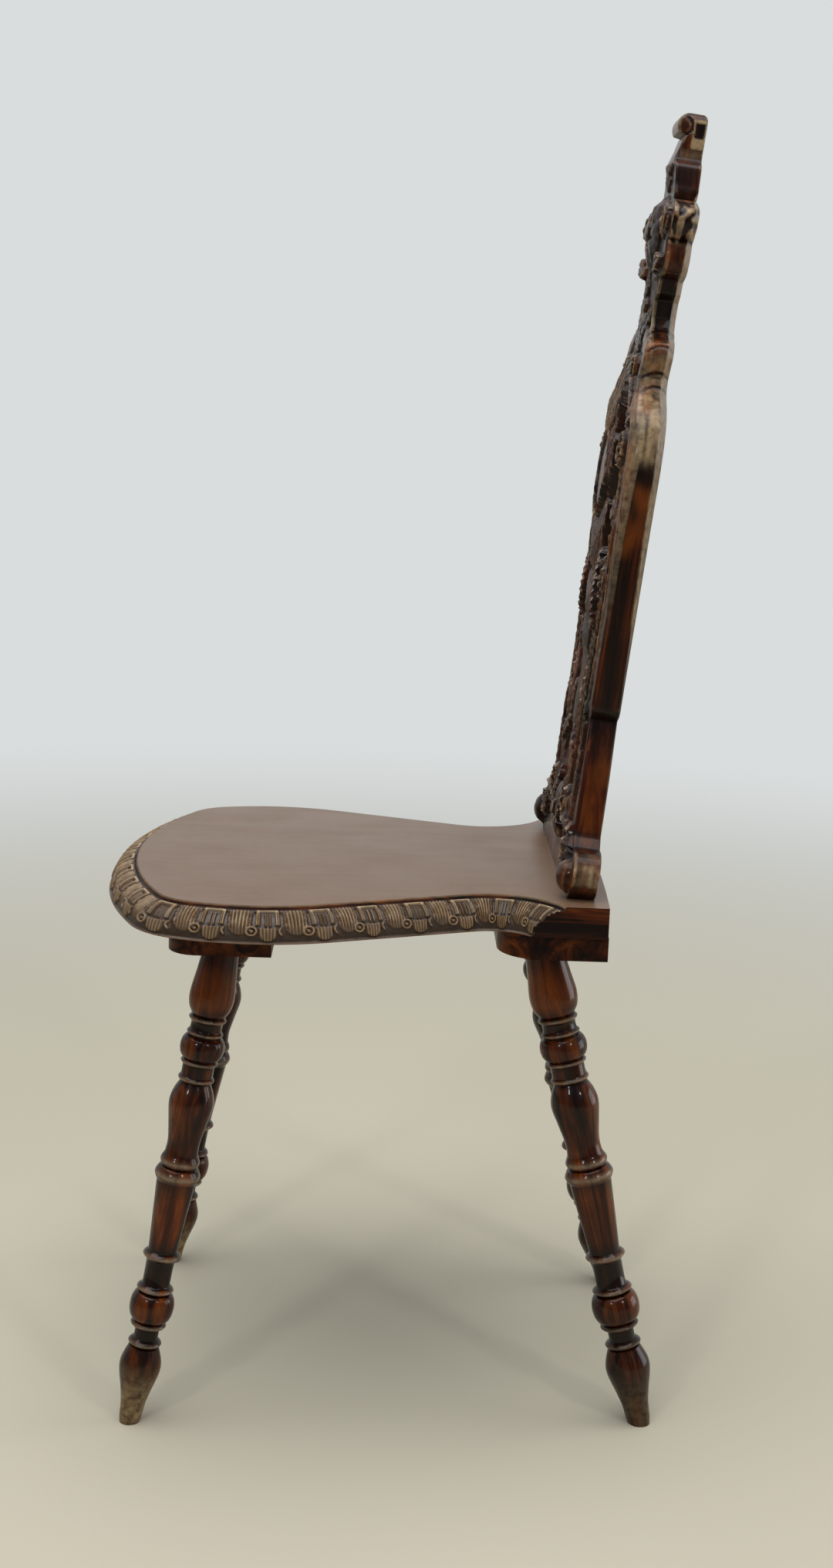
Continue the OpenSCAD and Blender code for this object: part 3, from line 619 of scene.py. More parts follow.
def back_carving(x, b, inward, shield, leaf_high):
    """Height of the front's carving over the plain face: acanthus that hangs round a smooth cartouche."""
    side = np.abs(x)
    parts = []
    # moulding that follows the outline from the notch over the shoulder, with three parallel quirks
    band = edge_rise(b) * ramp(-1.5, 1.5, 15.5 - inward)
    for line in (3.6, 7.4, 11.4):
        band = band - 1.0 * (1 - ramp(0.3, 1.3, np.abs(inward - line))) * ramp(2, 4, edge_rise(b))
    parts.append(band)
    # cascade of overlapping leaves down the middle, each with a midrib, veins and a lobed hanging tip
    hang = b - 0.016 * side ** 2 - 2.6 * np.abs(np.sin(side * math.pi / 13))
    width = along(b, *HALF_WIDTH, unit=1)
    level = along(hang, *CASCADE, unit=1) * shield / 16
    vein = ripple(side / 6.5 - b / 21)
    rib = 1 - ramp(0.6, 2.2, side)
    crown = domed((side / (width + 7)) ** 4)
    tier = level * crown * (1 - 0.13 * vein * (1 - rib) - 0.1 * rib)
    # smooth domed cartouche in a rolled rim
    oval = np.hypot(x / 25, (b - up(.535)) / 33)
    dome = 13.2 + 2.4 * domed(oval ** 2)
    roll = 15.6 * np.exp(-((oval - 1.1) / 0.1) ** 4)
    oval_edge = ramp(1.0, 0.94, oval)
    oval_face = oval_edge * (dome - 1.4) * shield / 16
    tier = np.maximum(tier * (1 - oval_edge) + oval_face, roll * shield / 16)
    tier = np.where(hang > 371, np.maximum(tier, level * crown * (1 - 0.13 * vein)), tier)
    parts.append(ramp(0, 2.2, width - side) * tier)
    # scrolls over and under the cartouche, each round a boss: middle, radius, start, turns, hand, and the
    # widths and heights at its ends
    for x0, share, radius, start, turns, hand, wide, high in (
            (64, .565, 19, 200, 1.5, -1, (5.6, 3.2), (10, 12)), (62, .4, 19, 80, 1.6, 1, (5.4, 3.0), (7, 9)),
            (48, .255, 17, 60, 1.5, 1, (5.0, 2.8), (5.0, 6.5)), (54, .1, 18, 20, 1.6, -1, (5.2, 3.0), (6, 9)),
            (24, .675, 12, 250, 1.4, 1, (4.2, 2.4), (6, 8))):
        wound = spiral((x0, up(share)), radius, start, turns, hand)
        parts.append(stroke(side, b, wound, wide, high, 2))
        parts.append(boss(side, b, wound[-1], wide[1] * 1.6, high[1] * 1.06))
    # long reeded fronds that sweep up the board from the notch to the shoulder
    for points, wide, high, reeds in (
            (((36, .12), (52, .22), (70, .33), (79, .45), (74, .55)), (10, 5), (4.5, 8), 3),
            (((66, .2), (80, .27), (87, .37), (87, .47), (80, .55)), (6.5, 4), (2.5, 6.5), 2),
            (((30, .19), (42, .29), (60, .37), (66, .46)), (8, 4), (4, 7), 3),
            (((70, .05), (82, .11), (84, .18), (74, .24)), (8, 4), (3, 5), 3),
            (((10, .05), (26, .1), (34, .17), (22, .25)), (8, 4), (2.5, 4.5), 3),
            (((50, .47), (62, .5), (66, .56), (52, .62), (34, .66)), (8, 4), (5, 8), 2)):
        parts.append(stroke(side, b, curve_points(shared(*points), 7), wide, high, reeds, 6))
    # leaves: root, aim in degrees, length, half width, height, lobes and curl, with the middle ones last
    for across, x0, share, aim, size, half, high, lobes, curl in (
            (side, 44, .5, -20, 42, 13, leaf_high, 3, .25), (side, 40, .6, 28, 44, 12, leaf_high, 3, -.3),
            (side, 30, .45, -74, 84, 13, leaf_high * 1.4, 6, .08),
            (side, 20, .2, -50, 48, 11, leaf_high * .8, 5, .2),
            (side, 24, .13, -92, 56, 11, leaf_high * .9, 5, .1),
            (side, 90, .07, 150, 34, 9, leaf_high * .8, 3, .2),
            (side, 8, .7, 68, 44, 11, leaf_high * .34, 4, -.2), (side, 30, .8, 20, 38, 11, 5.5, 3, -.2),
            (side, 36, .875, -8, 38, 8, 4.5, 3, .1),
            (x, 0, .68, 90, 76, 17, leaf_high * .42, 6, 0), (x, 0, .9, 90, 36, 14, 3.2, 3, 0)):
        parts.append(leaf(across, b, (x0, up(share)), aim, size, half, high, lobes, curl))
    # the crest's rosette and the flower between the feet, with the scrolls and knobs beside them
    parts += [
        boss(x, b, (0, up(.848)), 31, 9.4, 8), boss(x, b, (0, up(.075)), 25, 8, 6),
        stroke(side, b, spiral((56, up(.857)), 12, 230, 1.5, -1), (4.4, 2.6), (5, 6.5), 2),
        stroke(side, b, spiral((104, 34), 19, 160, 1.6, -1), (6, 3.4), (6, 9), 2),
        boss(side, b, (56, up(.857)), 5, 7.4), boss(side, b, (132, 19), 14, 11)]
    return np.maximum.reduce(parts)


def distance_inside(x, b, outline):
    """How far points of the face lie inside the board's outline."""
    return np.minimum.reduce([beside(np.abs(x), b, p, q)[1] for p, q in zip(outline, outline[1:])])


class SGABELLO_OT_back(bpy.types.Operator):
    """Carve the backboard: a pierced-looking outline with a cartouche, acanthus scrolls and a rolled crest"""
    bl_idname = "sgabello.back"
    bl_label = "Backboard"

    def execute(self, context):
        sizes = context.scene.sgabello_back
        outline = back_outline()
        heights = self.rows(outline, sizes.row / MM)
        reach = np.interp(heights, [p[1] for p in outline], [p[0] for p in outline])
        bm = grid_mesh(LAST, len(heights) - 1)
        worn_and_highlit, hollow, wood, finish = marks(bm)
        verts = list(bm.verts)
        col = np.rint(np.array([v.co.x for v in verts]) * LAST).astype(int)
        row = np.rint(np.array([v.co.y for v in verts]) * (len(heights) - 1)).astype(int)
        b, half = heights[row], reach[row]
        x, depth, place = self.section(col, half, b)
        is_front = (col <= FRONT) | (col == LAST)
        inward = distance_inside(x, b, outline)
        radius = np.minimum(edge_round(b), half * 0.5)
        raised = np.where(is_front, back_carving(x, b, inward, sizes.shield / MM, sizes.leaf / MM), 0)
        edge = edge_rise(b)
        raised = edge + (raised - edge) * ramp(radius * 0.3, radius * 0.3 + 2.5, inward) * ramp(0, 5, b)
        raised = np.where(b > up(.935), 0, raised)
        near_edge = np.clip(radius - inward, 0, radius)
        rolled_off = radius - np.sqrt(np.clip(radius ** 2 - near_edge ** 2, 0, None))
        rolled_off = np.minimum(rolled_off, radius * QUARTER)
        crown = 228
        hollow_drop = x ** 2 / crown * stretch(b, .722, .73, .785, .792)
        ground = is_front & (b > up(.03)) & (b < up(.93)) & (inward > 3)
        tooling = np.where(ground, speckle(x, b, 0.22, 0.22, 1) * 0.45, 0)
        thick = depth + np.where(is_front, raised - rolled_off - hollow_drop + tooling, 0)
        cut, dark, bright, bare_and_highlight, amber = self.side_marks(b, depth, place, inward)
        x = x - np.sign(x) * cut
        shaded = self.shaded(raised, row, col, len(heights))
        lean = sizes.lean
        foot_y = (REAR_Y - BACK_INSET + centring()) - sizes.thickness / MM / math.cos(lean)
        base = SEAT_TOP / MM
        for i, v in enumerate(verts):
            y = foot_y + b[i] * math.sin(lean) - thick[i] * math.cos(lean)
            z = base + b[i] * math.cos(lean) + thick[i] * math.sin(lean)
            v.co = Vector((x[i], y, max(z, base + 0.02))) * MM
            v[wood] = (x[i] * MM, thick[i] * MM, b[i] * MM)
            # dark (painted shade, with some old stain), bright (worn edges and painted highlights), bare
            # (painted highlights and a painted reflection) and amber are kept here until shade_marks spreads
            # them over the layers
            v[finish] = (float(max(shaded[i], dark[i])), float(bright[i]), float(bare_and_highlight[i]))
            v[worn_and_highlit] = float(amber[i])
        bmesh.ops.remove_doubles(bm, verts=bm.verts, dist=2e-6)
        self.shade_marks(bm, worn_and_highlit, hollow, finish)
        close(bm)
        piece = finished(bm, "backboard_carved", sharp=48)
        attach(piece, "root")
        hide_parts("back_board")
        # carved and French polished: deep red brown and glossy, its high edges worn to golden tan and painted
        # with highlights, and painted shade in its hollows
        colours = context.scene.sgabello_colours
        piece.data.materials.append(walnut(
            "walnut, carved and French polished", colours, colours.gilt, gloss=0.24, shine=0.12, coat=0.2,
            pore=0.4, amber_and_lit_to=colours.light))
        return {"FINISHED"}

    def rows(self, outline, spacing):
        """Heights of the rows: even, and closer at the outline's ledges and the rolled top."""
        heights = {0.0, float(BACK)}
        heights.update(np.arange(0, up(.59), spacing).round(2).tolist())
        heights.update(np.arange(up(.59), BACK, spacing * 0.6).round(2).tolist())
        for p, q in zip(outline, outline[1:]):
            if abs(q[0] - p[0]) > 2.5 * (q[1] - p[1]):
                heights.update((round(p[1], 2), round(q[1], 2)))
        heights.update((BACK - ROLL + ROLL * np.sin(np.linspace(-0.9, 1.56, 26))).round(2).tolist())
        kept = []
        for h in sorted(heights):
            if not kept or h - kept[-1] > 0.28:
                kept.append(h)
        kept[-1] = float(BACK)
        return np.array(kept)

    def section(self, col, half, b):
        """Places round the board's section: over the front, down a side, over the rear and up the other."""
        top, low = face_height(b), rear_height(b)
        edge_top = top + edge_rise(b)
        radius = np.minimum.reduce([edge_round(b), half * 0.5, (edge_top - low) * 0.6])
        bevel = rear_bevel(b)
        bevel_run = np.minimum(bevel * 2.4, half * 0.35)
        # the front's columns crowd towards its rounded edges
        nearer = np.minimum(col, FRONT - col)
        inset = half - radius * QUARTER
        strip = np.minimum(14, 0.3 * half)
        crowded, middle = 20, FRONT / 2
        x = np.where(nearer < crowded, inset - strip * nearer / crowded,
                     (inset - strip) * (1 - (nearer - crowded) / (middle - crowded)))
        x = np.where(col <= middle, x, -x)
        depth = top.copy()
        place = np.zeros(len(col))
        turn, flat = 6, 16
        slope = WALL - turn - flat
        for start, side in ((FRONT, -1), (FRONT + WALL + 1 + BEHIND, 1)):
            k = col - start if side < 0 else WALL + 1 - (col - start)
            on_wall = (col > start) & (col <= start + WALL)
            a = np.radians(45 + 45 * np.clip(k / turn, 0, 1))
            round_x, round_depth = half - radius * (1 - np.sin(a)), edge_top - radius * (1 - np.cos(a))
            t = np.clip((k - turn) / flat, 0, 1)
            flat_depth = (edge_top - radius) + (low + bevel - edge_top + radius) * t
            c = np.clip((k - turn - flat) / (slope + 1), 0, 1)
            wall_x = np.where(k <= turn, round_x, half - bevel_run * c)
            wall_depth = np.where(c > 0, low + bevel * (1 - c), flat_depth)
            wall_depth = np.where(k <= turn, round_depth, wall_depth)
            x = np.where(on_wall, side * wall_x, x)
            depth = np.where(on_wall, wall_depth, depth)
            place = np.where(on_wall, np.where(c > 0, BEVEL, np.where(k <= turn, ARRIS, FLAT)), place)
        k = col - FRONT - WALL - 1
        on_rear = (k >= 0) & (k <= BEHIND)
        x = np.where(on_rear, (2 * k / BEHIND - 1) * (half - bevel_run), x)
        depth = np.where(on_rear, low, depth)
        place = np.where(on_rear, REAR, place)
        return np.where(col == LAST, inset, x), depth, place

    def side_marks(self, b, depth, place, inward):
        """Cuts in the side walls, and where they take painted shade and old stain, worn edges with painted
        highlights, bare wood with painted highlights and a painted reflection, and amber.
        """
        face, arris, flat, bevel = (place == part for part in (FACE, ARRIS, FLAT, BEVEL))
        side, wall = flat | arris, flat | arris | bevel
        below = BACK - b
        arched = b + 0.035 * (depth + 12) ** 2
        # the crest: a volute round the roll's end, and behind it a sunk panel in a frame over a collar
        ring = np.hypot(below - 11.5, depth + 5.0) - 6.6
        volute = (1 - ramp(0.5, 1.6, np.abs(ring))) * ramp(1.0, -3.0, depth + 5.0)
        volute = volute * (depth > -18) * (below < 24)
        outer = np.minimum.reduce([below - 6, 28.5 - below, -12.0 - depth, depth + 22.8])
        inner = np.minimum.reduce([below - 8.6, 20.5 - below, -13.4 - depth, depth + 21.4])
        panel = ramp(-0.5, 0.5, inner)
        framed = ramp(-0.6, 0.4, outer) * (1 - panel)
        collar = span(below, 29.3, 30.3, 36.5, 37.5) * (depth < -4)
        # the ears' leafy ends, and the seams between the steps under them
        ear = stretch(b, .826, .836, .882, .888)
        lumps = ear * ramp(-0.28, 0.22, speckle(depth, b, 0.19, 0.16, 7))
        seams = np.maximum.reduce([
            1 - ramp(0.5, 1.8, np.abs(arched - up(at))) for at in (.652, .670, .703, .724)])
        # dark: painted shade in the deep hollow, the sunk panel, the volute's groove, the ears' cuts and the
        # seams, a painted shadow under the notch, blotches of old stain, and darker up the neck and at the
        # foot's lower end
        glow = np.maximum(stretch(arched, .43, .46, .52, .545), 0.6 * stretch(b, .07, .1, .17, .215))
        amber = np.where(flat, glow * np.clip(0.34 - 0.9 * speckle(depth, b, 0.1, 0.045, 9), 0.05, 0.7), 0)
        deep = stretch(arched, .724, .74, .772, .79)
        neck = 0.8 * ramp(up(.888), up(.9), b) * (1 - ramp(up(.925), up(.94), arched))
        blotch = 0.8 * ramp(-0.12, 0.3, speckle(depth, b, 0.035, 0.018, 4) + 0.12 - 0.3 * glow)
        blotch = blotch * (1 - ramp(up(.52), up(.57), b))
        notch = 0.8 * stretch(b, .215, .226, .236, .246)
        dark = np.maximum.reduce([
            wall * np.maximum.reduce([volute, ramp(0.45, 0.9, lumps), 0.85 * (1 - ramp(7, 13, b))]),
            flat * np.maximum.reduce([deep, neck, blotch, 0.8 * panel]),
            side * np.maximum(0.85 * seams, notch)])
        # bright: the rubbed edges, with painted highlights on the scored shoulder and foot, the front arris,
        # the rear bevel, the frame and the leaves of the ears
        scored = np.clip(0.72 + 0.7 * speckle(depth, b, 0.3, 0.045, 2), 0, 1)
        shoulder = stretch(b, .545, .57, .65, .72) * scored
        band = 0.4 * stretch(b, .3, .5, .70, .73) * ramp(17, 13, inward)
        bright = np.maximum.reduce([
            (face | arris) * np.maximum(band, 0.4 * ramp(26, 22, below)),
            arris * 0.35 * stretch(b, .65, .68, .81, .83),
            bevel * 0.6 * ramp(up(.28), up(.4), b),
            wall * 0.7 * np.maximum(span(b, 12, 16, 29, 35) * scored, ear * (1 - lumps)),
            side * (0.75 * shoulder + 0.95 * framed + 0.15 * collar)]) * (1 - seams) * (1 - notch)
        # bare: painted highlights on the shoulder, worn wood with a painted highlight on the frame, a painted
        # reflection along the rear bevel, and a little worn wood on the collar
        bare_and_highlight = np.maximum(
            side * (0.7 * framed + 0.1 * collar + 0.5 * shoulder * (1 - ramp(up(.60), up(.63), b))),
            bevel * 0.35 * ramp(up(.3), up(.4), b))
        return wall * (1.4 * volute + 1.6 * lumps + 0.7 * seams + 0.7 * panel), dark, bright, bare_and_highlight, amber

    def shaded(self, raised, row, col, rows):
        """Painted shade where the ground lies low beside tall carving and on steep sides, which is also where
        wax and dust gather.
        """
        grid = np.zeros((rows, FRONT + 1))
        on_front = col <= FRONT
        grid[row[on_front], col[on_front]] = raised[on_front]
        around = grid.copy()
        for axis in (0, 1):
            padded = around
            for step in (-4, -3, -2, -1, 1, 2, 3, 4):
                padded = padded + np.roll(around, step, axis)
            around = padded / 9
        sunk = np.clip((around - grid) / 3.2, 0, 1)
        sunk = np.maximum(sunk, 0.85 * ramp(0.7, 1.7, np.abs(np.gradient(grid, axis=1))))
        marked = np.zeros(len(raised))
        marked[on_front] = sunk[row[on_front], col[on_front]]
        return marked

    def shade_marks(self, bm, worn_and_highlit, hollow, finish):
        """Marks ridges as worn, with painted highlights, and valleys with painted shade, from how each point
        stands against its neighbours.
        """
        bm.normal_update()
        raw = {}
        for v in bm.verts:
            around = [e.other_vert(v).co for e in v.link_edges]
            if len(around) < 3:
                raw[v] = 0.0
                continue
            middle = sum(around, Vector()) / len(around)
            reach = sum((p - v.co).length for p in around) / len(around)
            raw[v] = (v.co - middle).dot(v.normal) / max(reach, 1e-6)
        for _ in range(2):
            raw = {v: (raw[v] * 2 + sum(raw[e.other_vert(v)] for e in v.link_edges))
                   / (2 + len(v.link_edges)) for v in bm.verts}
        inside = Vector((0, 0.2, 0.75))
        sign = 1 if sum(f.normal.dot(f.calc_center_median() - inside) for f in bm.faces) > 0 else -1
        for v in bm.verts:
            lift = raw[v] * sign
            dark, bright, bare_and_highlight = v[finish]
            amber = v[worn_and_highlit]
            # ridges get worn edges with painted highlights; valleys get painted shade
            v[worn_and_highlit] = min(1, max(0, lift * 7 * (1 - dark) - 0.3, bright))
            v[hollow] = min(1, max(0, -lift * 9 - 0.03, dark))
            v[finish] = (0, amber, bare_and_highlight)


# The turned legs, as radius in millimetres, height in thousandths of the leg's length and how far an edge
# is rubbed, which is also a painted highlight on the rings' crests
def bead(low, high, edge, crown, steps=10):
    """A rounded ball or bead."""
    return [(edge + (crown - edge) * math.sin(math.pi * i / steps),
             (low + high) / 2 - (high - low) / 2 * math.cos(math.pi * i / steps), 0.0)
            for i in range(steps + 1)]


def flange(low, high, edge, crown, steps=14):
    """A thin ring with a keen edge."""
    points = []
    for i in range(steps + 1):
        t = 2 * i / steps - 1
        out = 1 - abs(t) ** 1.5
        height = (low + high) / 2 + (high - low) / 2 * t
        # the crest is worn and dusty, and carries a painted highlight
        points.append((edge + (crown - edge) * out, height, max(0, out) ** 3.4))
    return points


def plain(points):
    return [(r, h, 0.0) for r, h in points]


def leg_outline(stout):
    """The turned outline from the floor up."""
    neck, urn, ring, core = (stout * d / 2 for d in (28.6, 37, 31, 26.4))
    bulb, vase, collar = (stout * d / 2 for d in (36.6, 37, 38))
    cone_top, cone_low, ball, slim = (stout * d / 2 for d in (32.6, 24, 37.2, 20.4))
    foot, toe = stout * 35 / 2, stout * 18.8 / 2
    return (
        plain([(toe * 0.80, -22), (toe * 0.86, -6), (toe * 0.9, 0)]
              + curve_points([(toe, 11), (toe * 1.12, 42), (foot * 0.74, 70), (foot, 122),
                              (slim * 1.25, 163)], 8))
        + flange(165, 179, slim * 1.1, ring * 0.91)
        + plain([(slim, 181), (slim, 191), (slim, 202)])
        + flange(203, 219, slim * 1.15, ring * 0.97)
        + bead(220, 278, core, ball, 18)
        + flange(279, 294, cone_low, ring)
        + plain([(cone_low * 0.95, 296), (cone_low * 0.96, 320), (cone_low * 0.98, 346)])
        + flange(348, 366, cone_low, ring * 1.01)
        + plain([(cone_low + (cone_top - cone_low) * k / 8, 368 + 18 * k) for k in range(9)])
        + flange(513, 541, cone_top, collar, 18)
        + flange(543, 566, core * 1.1, ring * 1.06, 16)
        + plain(curve_points([(core * 1.04, 571), (core * 1.02, 596), (vase * 0.87, 635), (vase, 672),
                              (vase * 0.9, 697), (core * 0.97, 717)], 7))
        + flange(719, 731, core, ring * 0.97)
        + plain([(core, 733), (core, 742), (core, 751)])
        + flange(753, 765, core, ring)
        + bead(766, 812, core, bulb, 16)
        + flange(813, 824, core, ring * 0.97)
        + plain([(core * 0.98, 826), (core * 0.98, 839)])
        + flange(841, 854, core, ring)
        + plain(curve_points([(core * 1.06, 856), (urn * 0.94, 872), (urn, 897), (urn * 0.9, 938),
                              (neck * 1.07, 970), (neck, 1000)], 7)))


class SGABELLO_OT_legs(bpy.types.Operator):
    """Turn the four splayed legs, with worn rings that carry painted highlights, and painted shade in the
    quirks
    """
    bl_idname = "sgabello.legs"
    bl_label = "Turned legs"

    def execute(self, context):
        sizes = context.scene.sgabello_legs
        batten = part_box("front_batten")[0][2] / MM
        # places at the batten, the foot's run outwards and backwards from there, stoutness and scuffs
        front = (137, FRONT_Y + 85, 20, -71, 1.0, 0.95)
        rear = (107, REAR_Y - 52, 30, 100, sizes.rear_stoutness, 0.45)
        for name, side, (x, y, out, back, stout, scuffs) in (
                ("leg_front_left", -1, front), ("leg_front_right", 1, front),
                ("leg_rear_left", -1, rear), ("leg_rear_right", 1, rear)):
            top = Vector((side * x, y + centring(), batten))
            foot = top + Vector((side * out, back, -batten))
            self.turn(name, top, foot, stout, sizes.steps, scuffs, context)
        return {"FINISHED"}

    def turn(self, name, top, foot, stout, steps, scuffs, context):
        axis = top - foot
        size = axis.length
        outline = [(r, (h / 1000 - 1) * size, worn_edge_and_highlight) for r, h, worn_edge_and_highlight in leg_outline(stout)]
        bm = bmesh.new()
        worn_and_highlit, hollow, wood, finish = marks(bm)
        chain = [bm.verts.new((r, 0, z)) for r, z, _ in outline]
        over = outline[-1][1] + 4
        cap = [bm.verts.new((0, 0, outline[0][1])), bm.verts.new((0, 0, over))]
        line = [cap[0]] + chain + [bm.verts.new((outline[-1][0], 0, over)), cap[1]]
        for a, b in zip(line, line[1:]):
            bm.edges.new((a, b))
        for i, (v, (r, z, worn_edge_and_highlight)) in enumerate(zip(chain, outline)):
            p = outline[max(i - 3, 0)]
            q = outline[min(i + 3, len(outline) - 1)]
            bulge = r - (p[0] + (q[0] - p[0]) * ((z - p[1]) / max(q[1] - p[1], 1e-6)))
            high = z / size + 1
            v[worn_and_highlit] = worn_edge_and_highlight
            # painted shade in the concave necks; darker also on the lower leg, more on the rear legs
            v[hollow] = min(1, max(0, -bulge * 0.8, (1 - scuffs) * (1 - float(ramp(0.22, 0.37, high)))))
            # painted light: the urn's belly is lightened to amber, against the shade under the seat
            amber = 0.42 * float(span(high, 0.86, 0.885, 0.93, 0.975))
            v[finish] = (0, amber, scuffs * (1 - float(ramp(18, 62, z + size))))
        bmesh.ops.spin(bm, geom=bm.verts[:] + bm.edges[:], axis=(0, 0, 1), cent=(0, 0, 0),
                       angle=2 * math.pi, steps=steps, use_merge=True)
        bmesh.ops.remove_doubles(bm, verts=bm.verts, dist=1e-4)
        turn = Vector((0, 0, 1)).rotation_difference(axis).to_matrix().to_4x4()
        place = Matrix.Scale(MM, 4) @ Matrix.Translation(top) @ turn
        for v in bm.verts:
            wobble = 0.12 * noise.noise(Vector((v.co.x * 0.05, v.co.y * 0.05, v.co.z * 0.03 + stout * 9)))
            v[wood] = v.co * MM + Vector((0.3 * foot.x, 0.2 * foot.y, 0)) * MM
            v.co.x += wobble
            v.co.y += wobble
        bmesh.ops.transform(bm, matrix=place, verts=bm.verts)
        for level, outward in ((0, -1), (top.z * MM, 1)):
            trim(bm, bm.verts[:] + bm.edges[:] + bm.faces[:], (0, 0, level), (0, 0, outward))
            close(bm)
        piece = finished(bm, name + "_turned", sharp=42)
        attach(piece, "root")
        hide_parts(name)
        # turned on the lathe and French polished: glassy, with sharp window highlights, dusty ring edges with
        # painted highlights, painted shade in the quirks and painted light on the urns
        colours = context.scene.sgabello_colours
        look = "walnut, turned and French polished"
        piece.data.materials.append(bpy.data.materials.get(look) or walnut(
            look, colours, colours.ring, gloss=0.2, shine=0.08, coat=0.32, pore=0.35, least_wear_and_highlight=0.3,
            amber_and_lit_to=colours.light))


# Shader nodes
def add(tree, kind, settings=None, **inputs):
    """Adds a node with its settings, and sets or links its inputs, by name or by number, as i0 and i1."""
    node = tree.nodes.new("ShaderNode" + kind)
    node.location = (200 * len(tree.nodes), 0)
    for key, value in (settings or {}).items():
        setattr(node, key, value)
    for key, value in inputs.items():
        numbered = key[0] == "i" and key[1:].isdigit()
        socket = node.inputs[int(key[1:]) if numbered else key.replace("_", " ")]
        if isinstance(value, bpy.types.NodeSocket):
            tree.links.new(value, socket)
        else:
            socket.default_value = value
    return node


def spread(tree, value, low, high, least=0.0, most=1.0):
    return add(tree, "MapRange", i0=value, i1=low, i2=high, i3=least, i4=most).outputs["Result"]


def joined(tree, operation, a, b):
    return add(tree, "Math", {"operation": operation}, i0=a, i1=b).outputs[0]


def clouds(tree, vector, scale, detail, roughness=0.5, distortion=0.0):
    return add(tree, "TexNoise", Vector=vector, Scale=scale, Detail=detail, Roughness=roughness,
               Distortion=distortion).outputs["Fac"]


def attribute(tree, name, output="Fac"):
    return add(tree, "Attribute", {"attribute_name": name}).outputs[output]


def split(tree, vector):
    return add(tree, "SeparateXYZ", Vector=vector).outputs


def graded(tree, value, stops):
    """Colours along a value, from positions and linear colours."""
    node = add(tree, "ValToRGB", Fac=value)
    elements = node.color_ramp.elements
    for i, (position, rgb) in enumerate(stops):
        element = elements.new(position) if 0 < i < len(stops) - 1 else elements[-1 if i else 0]
        element.position, element.color = position, four(rgb)
    return node.outputs["Color"]


def four(rgb):
    return (*rgb, 1.0)


def new_material(name):
    """A material with its node tree and its shader."""
    material = bpy.data.materials.new(name)
    material.use_nodes = True
    return material, material.node_tree, material.node_tree.nodes["Principled BSDF"]


